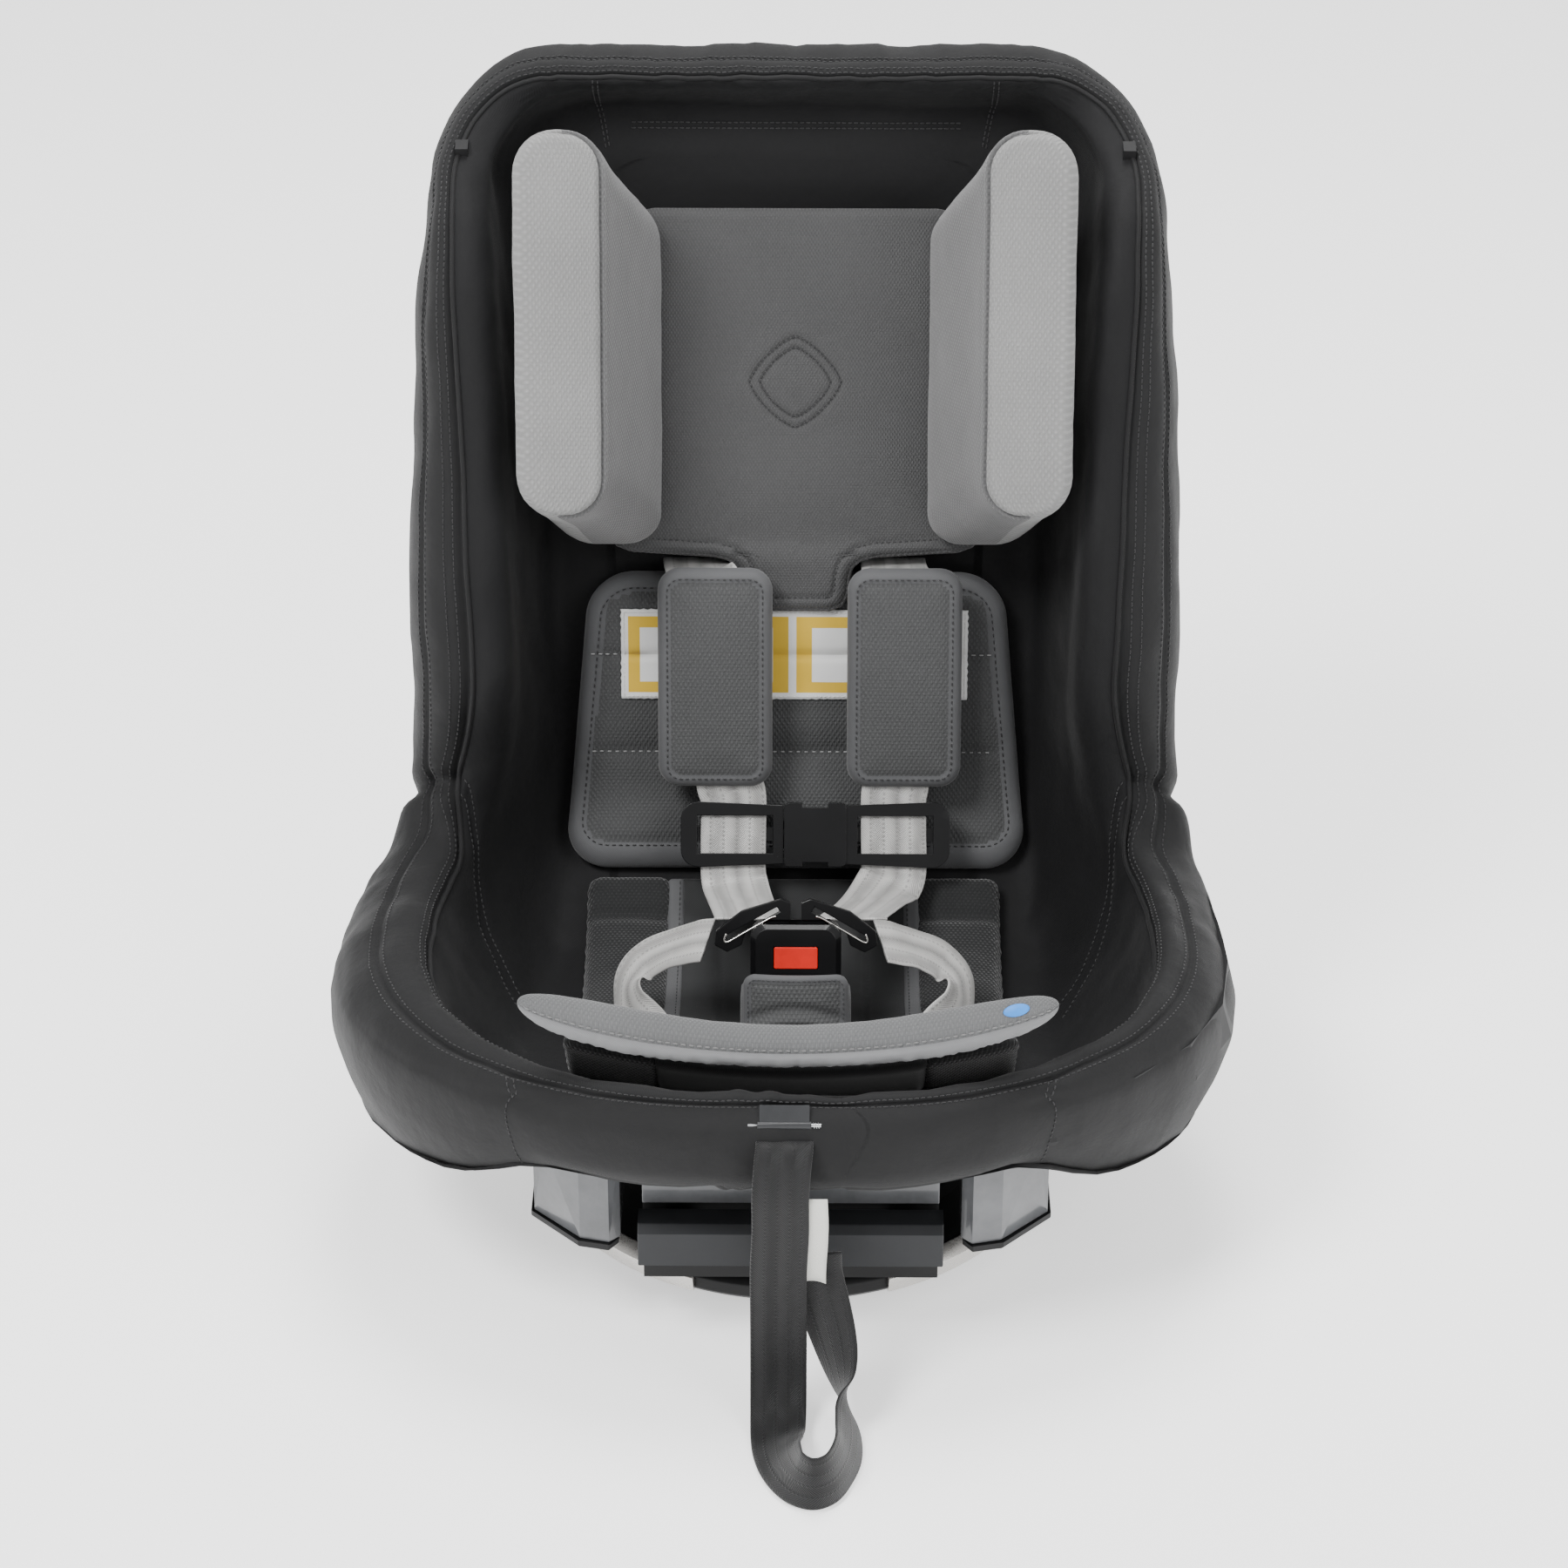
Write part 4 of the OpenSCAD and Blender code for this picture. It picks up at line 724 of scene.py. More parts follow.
def cover_grid():
    a, b, h = (np.array(x) for x in zip(*[cover_ab(v) for v in COVER_V]))
    p = at(a, b, h)
    v = np.repeat(COVER_V[:, None], LOOP_COUNT, 1)
    n = -grid_normals(p, closed=True)
    p = p + cover_relief(a, b, v, p)[..., None] * n
    p[..., 0] -= 5.0 * ease((320 - b) / 60) * ease((v - 3.0) / 1.5)
    corner = ease((np.abs(a) - 120) / 60) * ease((230 - b) / 90)
    p[..., 2] -= 17.0 * corner * ease((v - 5.2) / 1.9)
    return a, b, p, n


COVER_A, COVER_B, COVER_P, COVER_N = cover_grid()


def cover_point(u, v, raised=0.0):
    """A point on the finished cover at loop place u and row value v, with its normal."""
    u, v = np.broadcast_arrays(np.asarray(u, float), np.asarray(v, float))
    i = np.clip(np.searchsorted(COVER_V, v) - 1, 0, len(COVER_V) - 2)
    t = ((v - COVER_V[i]) / (COVER_V[i + 1] - COVER_V[i]))[..., None]
    j = np.floor(u).astype(int)
    s = (u - j)[..., None]
    j, k = j % LOOP_COUNT, (j + 1) % LOOP_COUNT

    def sample(grid):
        near, far = ((1 - s) * grid[row, j] + s * grid[row, k] for row in (i, i + 1))
        return (1 - t) * near + t * far

    n = unit(sample(COVER_N))
    return sample(COVER_P) + raised * n, n


def cover_b(u, v):
    i = np.clip(np.searchsorted(COVER_V, v), 0, len(COVER_V) - 1)
    return COVER_B[i, np.round(u).astype(int) % LOOP_COUNT]


def seam_path(u, seam, shift=0.0, raised=0.0):
    """Points along a seam that runs at seam(b), shift rows further out."""
    v = np.full(len(u), 4.0)
    for _ in range(3):
        v = seam(cover_b(u, v))
    return cover_point(u, v + shift, raised)


def make_cover():
    rows = len(COVER_V)
    verts = COVER_P.reshape(-1, 3)
    loop_s = lengths(COVER_P[rows // 2])
    row_s = lengths(COVER_P[:, SIDE_COUNT // 2])
    uvs = np.stack([np.tile(loop_s, rows), np.repeat(row_s, LOOP_COUNT)], 1)
    faces = [f[::-1] for f in grid_faces(rows, LOOP_COUNT, closed=True)]
    base = len(verts)
    a, b, h = cover_ab(0.0)
    share = 1 - 2 * np.arange(1, ACROSS_N) / ACROSS_N
    inner_a = a[1:SIDE_COUNT - 1, None] * share[None, :]
    inner_b = np.repeat(b[1:SIDE_COUNT - 1, None], ACROSS_N - 1, 1)
    floor_p = at(inner_a, inner_b, 0.0)
    fill_uv = np.stack([inner_a.ravel(), inner_b.ravel()], 1)
    verts = np.concatenate([verts, floor_p.reshape(-1, 3)])
    uvs = np.concatenate([uvs, fill_uv])
    width = ACROSS_N - 1

    def cell(j, c):
        """Vertex of floor row j, column c, counted from the right edge."""
        if c == 0:
            return j
        if c == ACROSS_N:
            return 2 * SIDE_COUNT + width - 1 - j
        if j == SIDE_COUNT - 1:
            return SIDE_COUNT + c - 1
        if j == 0:
            return LOOP_COUNT - c
        return base + (j - 1) * width + c - 1

    for j in range(SIDE_COUNT - 1):
        for c in range(ACROSS_N):
            faces.append((cell(j, c), cell(j + 1, c), cell(j + 1, c + 1), cell(j, c + 1)))
    centre_v = np.concatenate([np.repeat(COVER_V[:-1], LOOP_COUNT), np.zeros((SIDE_COUNT - 1) * ACROSS_N)])
    inner = np.concatenate([seam_in(COVER_B[:-1]).ravel(), np.full((SIDE_COUNT - 1) * ACROSS_N, 9.0)])
    kind = (centre_v < inner).astype(int)
    piece = make_mesh("cover_cloth", verts, faces, [COVER_CLOTH, COVER_INNER], uvs, kind)
    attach(piece, "seat")
    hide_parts("seat_cover", "foam_liner")


def smoothed(places):
    """Loop places found by nearest point, without their jumps."""
    return np.convolve(np.pad(np.asarray(places, float), 3, mode="edge"), np.ones(7) / 7, "valid")


def make_cover_seams():
    """Piping and stitching along the cover's seams."""
    u = np.arange(0.0, LOOP_COUNT)
    p, n = seam_path(u, seam_in, 0.0, 0.4)
    tube("cover_piping", smooth_path(p, 1, closed=True), 1.5, COVER_CLOTH, "seat", closed=True)
    group = ("cover_stitching", BLACK_THREAD, "seat")
    for seam, shift in ((seam_in, 0.22), (seam_in, 0.38), (seam_out, -0.12), (seam_out, 0.12)):
        stitches(group, *seam_path(np.append(u, LOOP_COUNT), seam, shift), pitch=3.4, size=2.4, width=0.7)
    for mirrored in (False, True):
        v = np.linspace(3.85, 1.1, 40)
        rows = COVER_B[np.searchsorted(COVER_V, v), :SIDE_COUNT]
        near = np.argmin(np.abs(rows - wall_seam(v)[:, None]), axis=1)
        place = smoothed((2 * SIDE_COUNT + ACROSS_N - 2 - near) if mirrored else near)
        for shift in (-1.2, 1.2):
            stitches(group, *cover_point(place + shift, v), pitch=3.4, size=2.4, width=0.7)
    for side in (-1, 1):
        for offset in (-2.2, 2.2):
            v = np.linspace(4.45, 7.0, 40)
            found = []
            for x in v:
                i = min(np.searchsorted(COVER_V, x), len(COVER_V) - 1)
                front = np.where(COVER_B[i] < 120, np.abs(COVER_A[i] - side * (142 + offset)), 1e9)
                found.append(np.argmin(front))
            stitches(group, *cover_point(smoothed(found), v), pitch=3.4, size=2.4, width=0.7)


def top_u(a, v):
    """Loop place on the top side at a across, on row v."""
    reach = np.interp(v, COVER_V, COVER_A[:, SIDE_COUNT - 1])
    return SIDE_COUNT - 1 + ACROSS_N * (1 - a / reach) / 2


def side_u(b, v, left):
    """Loop place on one side at b along, on row v."""
    i = np.clip(np.searchsorted(COVER_V, v), 0, len(COVER_V) - 1)
    u = np.array([np.interp(y, COVER_B[k, :SIDE_COUNT], np.arange(SIDE_COUNT)) for y, k in zip(b, i)])
    return 2 * SIDE_COUNT + ACROSS_N - 2 - u if left else u


def make_cover_details():
    """Panel seams over the head, the rim's binding and a plain ring on either flank."""
    group = ("cover_stitching", BLACK_THREAD, "seat")
    v = np.linspace(0.35, 3.8, 40)
    for a in (-112, 112):
        for shift in (-1.4, 1.4):
            stitches(group, *cover_point(top_u(a + shift + 0 * v, v), v, 0.2), pitch=3.4, size=2.4, width=0.7)
    a = np.linspace(-92, 92, 70)
    for v in (0.55, 0.66):
        stitches(group, *cover_point(top_u(a, v + 0 * a), v + 0 * a, 0.2), pitch=3.4, size=2.4, width=0.7)
    f = np.linspace(0, 2 * np.pi, 49)
    for left, name in ((True, "flank_ring_left"), (False, "flank_ring_right")):
        v = 6.55 + 0.24 * np.cos(f)
        p, n = cover_point(side_u(388 + 14 * np.sin(f), v, left), v, 0.3)
        tube(name, p[:-1], 0.7, WHITE_THREAD, "seat", sides=6, closed=True)


make_cover()
make_cover_seams()
make_cover_details()

# ---- pads ----------------------------------------------------------------------------------------


def spaced(low, high, count, edge, fine=12):
    """Values from low to high, close together near both ends."""
    near = edge * (1 - np.cos(np.linspace(0, np.pi / 2, fine)))
    middle = np.linspace(low + edge, high - edge, count)[1:-1]
    return np.concatenate([low + near, middle, (high - near)[::-1]])


def rounded(width, low, high, radius, narrowing=0.0):
    """Half width of a rounded rectangle at b."""

    def half(b):
        reach = np.clip(np.minimum(b - low, high - b), 0, radius)
        share = (b - low) / (high - low)
        return width - radius + np.sqrt(np.maximum(radius**2 - (radius - reach) ** 2, 0)) - narrowing * share

    return half


def edge_distance(a, b, outline):
    """Distance of (a, b) points from a closed outline."""
    p = np.stack([np.ravel(a), np.ravel(b)], -1)
    q = outline
    d = np.roll(q, -1, 0) - q
    best = np.full(len(p), 1e9)
    for start, step in zip(q, d):
        t = np.clip(((p - start) @ step) / max(step @ step, 1e-9), 0, 1)
        best = np.minimum(best, np.linalg.norm(p - start - t[:, None] * step, axis=1))
    return best.reshape(np.shape(a))


def puff(piece, held, cap):
    """Swells a pad by cloth simulation under pressure, its sewn places held and no point moved past cap."""
    mesh = piece.data
    group = piece.vertex_groups.new(name="held")
    group.add([int(i) for i in np.where(held)[0]], 1.0, "REPLACE")
    start = np.zeros(len(mesh.vertices) * 3)
    mesh.vertices.foreach_get("co", start)
    cloth = piece.modifiers.new("cloth", "CLOTH")
    settings = cloth.settings
    settings.quality = 6
    settings.mass = 0.3
    settings.tension_stiffness = 12
    settings.compression_stiffness = 12
    settings.bending_stiffness = 0.6
    settings.use_pressure = True
    settings.uniform_pressure_force = 4
    settings.vertex_group_mass = group.name
    settings.effector_weights.gravity = 0
    cloth.collision_settings.use_collision = False
    scene = bpy.context.scene
    for step in range(1, 21):
        scene.frame_set(step)
    end = np.zeros(len(start))
    piece.evaluated_get(bpy.context.evaluated_depsgraph_get()).data.vertices.foreach_get("co", end)
    move = (end - start).reshape(-1, 3)
    far = np.linalg.norm(move, axis=1, keepdims=True)
    move *= np.minimum(1, cap * MM / np.maximum(far, 1e-9)) * (np.isfinite(far) & (far < 0.05))
    piece.modifiers.remove(cloth)
    piece.vertex_groups.remove(group)
    mesh.vertices.foreach_set("co", start + np.nan_to_num(move).ravel())
    mesh.update()
    scene.frame_set(1)


class Plush:
    """A padded form between a rounded upper and lower face over an outline, half(b) wide from low to high."""

    def __init__(self, half, low, high, place, level, up, down, edge=9.0, mid=0.0, relief=None, extra_b=()):
        self.half, self.low, self.high, self.place, self.mid = half, low, high, place, mid
        self.level, self.up, self.down, self.edge, self.relief = level, up, down, edge, relief
        widest = float(np.max(half(np.linspace(low, high, 50))))
        self.reach = min(max(edge, 13.0), 0.7 * widest)
        b = np.unique(np.concatenate([spaced(low, high, 60, min(self.reach, 0.3 * (high - low))), extra_b]))
        right = np.stack([half(b), b], 1)
        self.outline = np.concatenate([right, right[::-1] * [-1, 1]])
        self.b = b

    def depth(self, a, b):
        return edge_distance(np.asarray(a, float) - self.mid, b, self.outline)

    def height(self, a, b, d=None):
        d = self.depth(a, b) if d is None else d
        round_ = np.sqrt(1 - (1 - np.clip(d / self.edge, 0, 1)) ** 2)
        level = self.level(np.asarray(b)) if callable(self.level) else self.level
        up = self.up * round_
        if self.relief is not None:
            up = up + self.relief(np.asarray(a, float) - self.mid, b, d) * np.clip(d / 2, 0, 1)
        return level + up, level - self.down * round_

    def on(self, a, b, raised=0.0):
        """Points and normals on the upper face."""
        a, b = np.broadcast_arrays(np.asarray(a, float), np.asarray(b, float))
        step = 0.6

        def point(a, b):
            return self.place(a, b, self.height(a, b)[0])

        n = unit(np.cross(point(a + step, b) - point(a - step, b), point(a, b + step) - point(a, b - step)))
        return point(a, b) + raised * n, n

    def sew(self, group, a, b, pitch, size, width, raised=0.0):
        """Stitches along (a, b) points on the upper face; group is the thread's piece, material and body."""
        stitches(group, *self.on(a, b, raised), pitch=pitch, size=size, width=width)

    def inset(self, distance, step=2.5):
        """The outline moved in by distance, as (a, b) points."""
        q = np.concatenate([self.outline, self.outline[:1]])
        q = resample(np.concatenate([q, np.zeros((len(q), 1))], 1), step)[:, :2]
        t = np.roll(q, -1, 0) - np.roll(q, 1, 0)
        n = np.stack([-t[:, 1], t[:, 0]], 1)
        n /= np.maximum(np.linalg.norm(n, axis=1, keepdims=True), 1e-9)
        moved = q + n * distance
        keep = edge_distance(moved[:, 0], moved[:, 1], self.outline) > distance - 0.4
        moved = moved[keep] + [self.mid, 0]
        return moved

    def build(self, name, materials, body, columns=44, binding=0.0, wrinkle=0.35, seed=1.0, sewn=None,
              cap=3.0):
        """The pad's closed mesh on a body; sewn(a, b, d) marks what the cloth simulation holds."""
        s = spaced(-1, 1, columns, self.reach / float(np.max(self.half(self.b))))
        bb = np.repeat(self.b[:, None], len(s), 1)
        aa = self.mid + self.half(self.b)[:, None] * s[None, :]
        d = self.depth(aa, bb)
        high, low = self.height(aa, bb, d)
        upper, lower = self.place(aa, bb, high), self.place(aa, bb, low)
        rough = wobble(upper, 16, seed) + 0.5 * wobble(upper, 7, seed + 4)
        upper = upper + grid_normals(upper) * (wrinkle * rough * np.clip(d / 4, 0, 1))[..., None]
        rows, cols = aa.shape
        total = rows * cols
        under = np.arange(total).reshape(rows, cols) + total
        rim = np.zeros((rows, cols), bool)
        rim[0], rim[-1], rim[:, 0], rim[:, -1] = True, True, True, True
        index = np.where(rim, np.arange(total).reshape(rows, cols), under)
        faces = grid_faces(rows, cols)
        flat = index.ravel()
        faces += [tuple(flat[i] for i in f)[::-1] for f in grid_faces(rows, cols)]
        face_d = 0.25 * (d[:-1, :-1] + d[1:, :-1] + d[:-1, 1:] + d[1:, 1:]).ravel()
        kind = np.concatenate([face_d < binding, np.full(len(face_d), binding > 0)]).astype(int)
        verts = np.concatenate([upper.reshape(-1, 3), lower.reshape(-1, 3)])
        uvs = np.stack([np.tile(aa.ravel(), 2), np.tile(bb.ravel(), 2)], 1)
        piece = make_mesh(name, verts, faces, materials, uvs, kind)
        if sewn is not None:
            held = np.concatenate([sewn(aa - self.mid, bb, d).ravel(), np.ones(total, bool)])
            puff(piece, held, cap)
        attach(piece, body)
        return piece


def pillows(lines, depth, width, swell):
    """Relief of sewn channels at the given b lines, with the cloth swelling between them."""
    lines = np.sort(np.asarray(lines, float))

    def relief(a, b, d):
        nearest = np.min(np.abs(np.asarray(b, float)[..., None] - lines), -1)
        return swell * (1 - np.exp(-nearest / 14)) - depth * dip(nearest, width)

    return relief


LUMBAR_X, LUMBAR_FROM, LUMBAR_TO = 1.0, 326.0, 508.0
LUMBAR_LINES = (396.0, 458.0)


def make_lumbar():
    channels = pillows(LUMBAR_LINES, 2.4, 2.2, 1.8)

    def relief(a, b, d):
        inner = np.clip((d - 10) / 8, 0, 1)
        return channels(a, b, d) * inner - 1.7 * dip(d - 11.5, 1.4) + 1.4 * np.clip(d / 40, 0, 1)

    def sewn(a, b, d):
        at_channel = np.min(np.abs(b[..., None] - np.array(LUMBAR_LINES)), -1) < 2.5
        return (d < 13.5) | at_channel | (np.abs(b - 458) < 36)

    half = rounded(136, LUMBAR_FROM, LUMBAR_TO, 26, 16)
    pad = Plush(half, LUMBAR_FROM, LUMBAR_TO, at, 7.5, 8.0, 5.5, 8, LUMBAR_X, relief)
    piece = pad.build("lumbar_cushion", [PAD_CLOTH, PAD_BINDING], "seat", binding=11.5, sewn=sewn, cap=4.0)
    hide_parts("lumbar_pad")
    q = pad.inset(8.8)
    pad.sew(("lumbar_stitching", BLACK_THREAD, "seat"), *q.T, pitch=4.0, size=2.8, width=0.9)
    for line in LUMBAR_LINES:
        x = np.linspace(-118, 112, 90)
        pad.sew(("channel_stitching", SILVER_THREAD, "seat"), LUMBAR_X + x, line, 4.6, 2.8, 0.8, raised=0.5)
    return pad


def make_label(pad):
    """A blank patch with a plain border, zigzag-cut at its edges."""
    low, high, reach = 429.0, 487.0, 101.0
    rows, cols = 26, 90
    b = np.linspace(low, high, rows)[:, None] + np.zeros((1, cols))
    a = np.linspace(-reach, reach, cols)[None, :] + np.zeros((rows, 1))
    zig = 0.8 * np.abs(((a / 5.0) % 1) * 2 - 1)
    b[0], b[-1] = low + zig[0], high - zig[-1]
    zag = 0.8 * np.abs(((b / 5.0) % 1) * 2 - 1)
    a[:, 0], a[:, -1] = -reach + zag[:, 0], reach - zag[:, -1]
    p, n = pad.on(LUMBAR_X - 1 + a, b)
    soft = 0.35 * wobble(np.stack([a, b, 0 * a], -1), 15, 6.6)
    high_p = p + n * (1.35 + soft)[..., None]
    low_p = p + n * 0.15
    faces = sheet_faces(rows, cols)
    mid_a = 0.5 * (a[:-1, :-1] + a[1:, 1:])
    mid_b = 0.5 * (b[:-1, :-1] + b[1:, 1:])
    panel = np.abs(np.abs(mid_a + 1) - 49.5)
    near_edge = (mid_b < low + 11) | (mid_b > high - 11)
    border = ((panel > 38.5) & (panel < 47.0)) | ((panel <= 47.0) & near_edge)
    border &= (mid_b > low + 4) & (mid_b < high - 4) & (np.abs(mid_a) < reach - 3)
    kind = np.concatenate([border.ravel().astype(int), np.zeros(len(faces) - border.size, int)])
    uvs = np.tile(np.stack([a.ravel(), b.ravel()], 1), (2, 1))
    piece = make_mesh("label_cloth", np.concatenate([high_p.reshape(-1, 3), low_p.reshape(-1, 3)]), faces,
                      [LABEL_CLOTH, LABEL_BORDER], uvs, kind)
    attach(piece, "seat")
    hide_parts("label_patch")
    x, y = np.arange(-reach + 2, reach - 2, 1.5), np.arange(low + 2, high - 2, 1.5)
    ring_a = np.concatenate([x, np.full(len(y), reach - 2.2), -x, np.full(len(y), -reach + 2.2)])
    ring_b = np.concatenate([np.full(len(x), low + 2.2), y, np.full(len(x), high - 2.2), high + low - y])
    thread_on = ("label_stitching", WHITE_THREAD, "seat")
    pad.sew(thread_on, LUMBAR_X - 1 + ring_a, ring_b, 2.6, 1.8, 0.55, raised=1.5)


REST_HALF = [(488, 20), (491, 27), (498, 30), (510, 31), (515, 33), (519, 38), (521, 46), (522.5, 70),
             (524, 94), (527, 102), (536, 107), (582, 107), (642, 105), (700, 102), (712, 98), (718, 90),
             (720, 80)]
EMBLEM_B = 622.0


def emblem_path(size, count=96):
    """A rounded diamond."""
    f = 2 * np.pi * np.arange(count + 1) / count
    r = size / (np.abs(np.cos(f)) ** 1.35 + np.abs(np.sin(f)) ** 1.35) ** (1 / 1.35)
    return np.stack([r * np.cos(f), EMBLEM_B + r * np.sin(f)], 1)


def make_headrest():
    table = np.array(REST_HALF)

    def half(b):
        return np.interp(b, table[:, 0], table[:, 1])

    def level(b):
        return 22.5 - 4.0 * ease((b - 516) / 22)

    def relief(a, b, d):
        out = -1.6 * dip(d - 7.5, 1.3) * (b < 545) + 1.5 * np.clip(d / 50, 0, 1)
        for size in (26, 20):
            q = emblem_path(size, 48)
            out = out - 1.1 * dip(edge_distance(a, b, q), 1.5)
        mark = np.hypot(a, b - EMBLEM_B)
        return out + 0.9 * dip(mark, 13)

    def sewn(a, b, d):
        return (d < 9) | (b < 530) | (np.hypot(a, b - EMBLEM_B) < 36)

    at_cutout = (515, 517, 519, 520, 521, 521.8, 522.5, 523.2, 524, 525.5, 527, 530)
    pad = Plush(half, 488, 720, at, level, 4.0, 3.0, 5, 0.0, relief, extra_b=at_cutout)
    pad.b = np.unique(np.concatenate([pad.b, np.arange(590, 655, 1.6)]))
    piece = pad.build("headrest_cushion", [HEADREST_CLOTH, HEADREST_CLOTH], "headrest", columns=96,
                      wrinkle=0.3, seed=2.0, sewn=sewn, cap=2.5)
    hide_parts("headrest_pad")
    group = ("headrest_stitching", BLACK_THREAD, "headrest")
    q = pad.inset(7.0)
    low = q[q[:, 1] < 540]
    runs = np.split(low, np.where(np.linalg.norm(np.diff(low, axis=0), axis=1) > 12)[0] + 1)
    for run in runs:
        if len(run) > 6:
            pad.sew(group, *run.T, pitch=3.4, size=2.5, width=0.7)
    for size in (26, 20):
        e = emblem_path(size)
        thread_on = ("emblem_stitching", BLACK_THREAD, "headrest")
        pad.sew(thread_on, *e.T, pitch=2.8, size=2.4, width=1.2, raised=0.5)
    edge = pad.outline[pad.outline[:, 1] < 545]
    right = edge[edge[:, 0] > 0]
    path = np.concatenate([right[::-1], right * [-1, 1]])
    p = at(path[:, 0], path[:, 1], level(path[:, 1]))
    tube("headrest_piping", resample(p, 2.5), 1.6, HEADREST_CLOTH, "headrest")


BOLSTER_ROWS = np.array([
    [27, 78, 126, 534, 712, 14], [36, 76, 134, 530, 724, 20], [60, 84, 145, 540, 742, 26],
    [88, 96, 152, 552, 762, 28], [104, 102, 154, 558, 773, 25], [111, 106, 151, 562, 772, 20],
    [114.5, 112, 145, 568, 766, 15], [115.6, 120, 138, 576, 758, 9]], float)


SEAM_KEY = 4.9


def make_bolster(side, name, node):
    spans = [(0, 4.6, 40), (4.6, 5.6, 22), (5.6, 7, 14)]
    keys = np.unique(np.concatenate([np.linspace(*span) for span in spans]))
    rows = along(BOLSTER_ROWS, keys)
    around = 26
    count = 4 * around
    rings, uvs = [], []
    for h, inner, outer, low, high, r in rows:
        w, mid = (outer - inner) / 2, (outer + inner) / 2
        r = min(r, w - 0.5)
        f = np.linspace(0, np.pi / 2, 9)
        corner = [w - r + r * np.sin(f), low + r - r * np.cos(f)]
        a = np.concatenate([corner[0], np.full(around * 2 - 18, w), corner[0][::-1]])
        straight = np.linspace(low + r, high - r, around * 2 - 16)[1:-1]
        b = np.concatenate([corner[1], straight, high + low - corner[1][::-1]])
        ring_a = np.concatenate([a, -a[::-1]])
        ring_b = np.concatenate([b, b[::-1]])
        rings.append((mid + ring_a, ring_b, np.full(count, h)))
        uvs.append(np.stack([mid + ring_a + h, ring_b], 1))
    a, b, h = (np.array(x) for x in zip(*rings))
    p = at(a, b, h)
    n = grid_normals(p, closed=True)
    key = keys[:, None] + 0 * a
    inner_side = np.clip((np.arange(count)[None, :] - count // 2 + 3) / 6, 0, 1)
    relief = (-2.6 * dip(key - SEAM_KEY, 0.12) + 1.0 * dip(key - 4.6, 0.2)) * inner_side
    relief = relief + 1.2 * dip(key - 5.55, 0.4)
    relief = relief + 0.7 * wobble(p, 34, 9 + side) + 0.25 * wobble(p, 11, 3 + side)
    p = p + n * relief[..., None]
    p[..., 0] *= side
    total_rows = len(keys)
    faces = grid_faces(total_rows, count, closed=True)
    last = (total_rows - 1) * count
    far = last + count - 1
    cap = [(last + j, last + j + 1, far - j - 1, far - j) for j in range(count // 2 - 1)]
    faces += cap
    column = np.arange(count)[None, :]
    faced = (key[:-1] < SEAM_KEY) & (column >= count // 2)
    kind = np.concatenate([faced.ravel(), np.zeros(len(cap), bool)]).astype(int)
    if side < 0:
        faces = [f[::-1] for f in faces]
    piece = make_mesh(name, p.reshape(-1, 3), faces, [BOLSTER_CLOTH, BOLSTER_FACE], np.concatenate(uvs), kind)
    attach(piece, "headrest")
    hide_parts(node)
    row = int(np.argmin(np.abs(keys - SEAM_KEY)))
    seam = p[row, count // 2:] + np.array([side, 1, 1]) * n[row, count // 2:] * 0.5
    tube(name + "_piping", resample(seam, 2.5), 0.85, BOLSTER_FACE, "headrest", sides=6)


PAD_LEFT_X, PAD_RIGHT_X = -45.5, 63.5


def make_shoulder_pad(x, name, node):
    half = rounded(33, 388, 517, 13)

    def relief(a, b, d):
        return -1.5 * dip(d - 8.0, 1.2) + 1.6 * np.clip(d / 22, 0, 1)

    pad = Plush(half, 388, 517, hung, 39, 6.2, 6.2, 6, x, relief)
    piece = pad.build(name, [PAD_CLOTH, PAD_BINDING], "seat", columns=30, binding=8, seed=x,
                      sewn=lambda a, b, d: d < 9.5, cap=3.0)
    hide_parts(node)
    q = pad.inset(5.6, 2.0)
    pad.sew(("shoulder_pad_stitching", BLACK_THREAD, "seat"), *q.T, pitch=3.6, size=2.5, width=0.85)


SEAT_LOW, SEAT_HIGH = 36.0, 318.0
SEAT_LINES = np.array([112.0, 200.0, 288.0])


def seat_rise(a, b):
    return 18 * ease((86 - b) / 56) + 26 * (a / 141) ** 2 * ease((150 - b) / 100)


def seat_place(a, b, h):
    return at(a, b, h + seat_rise(np.asarray(a, float), np.asarray(b, float)))


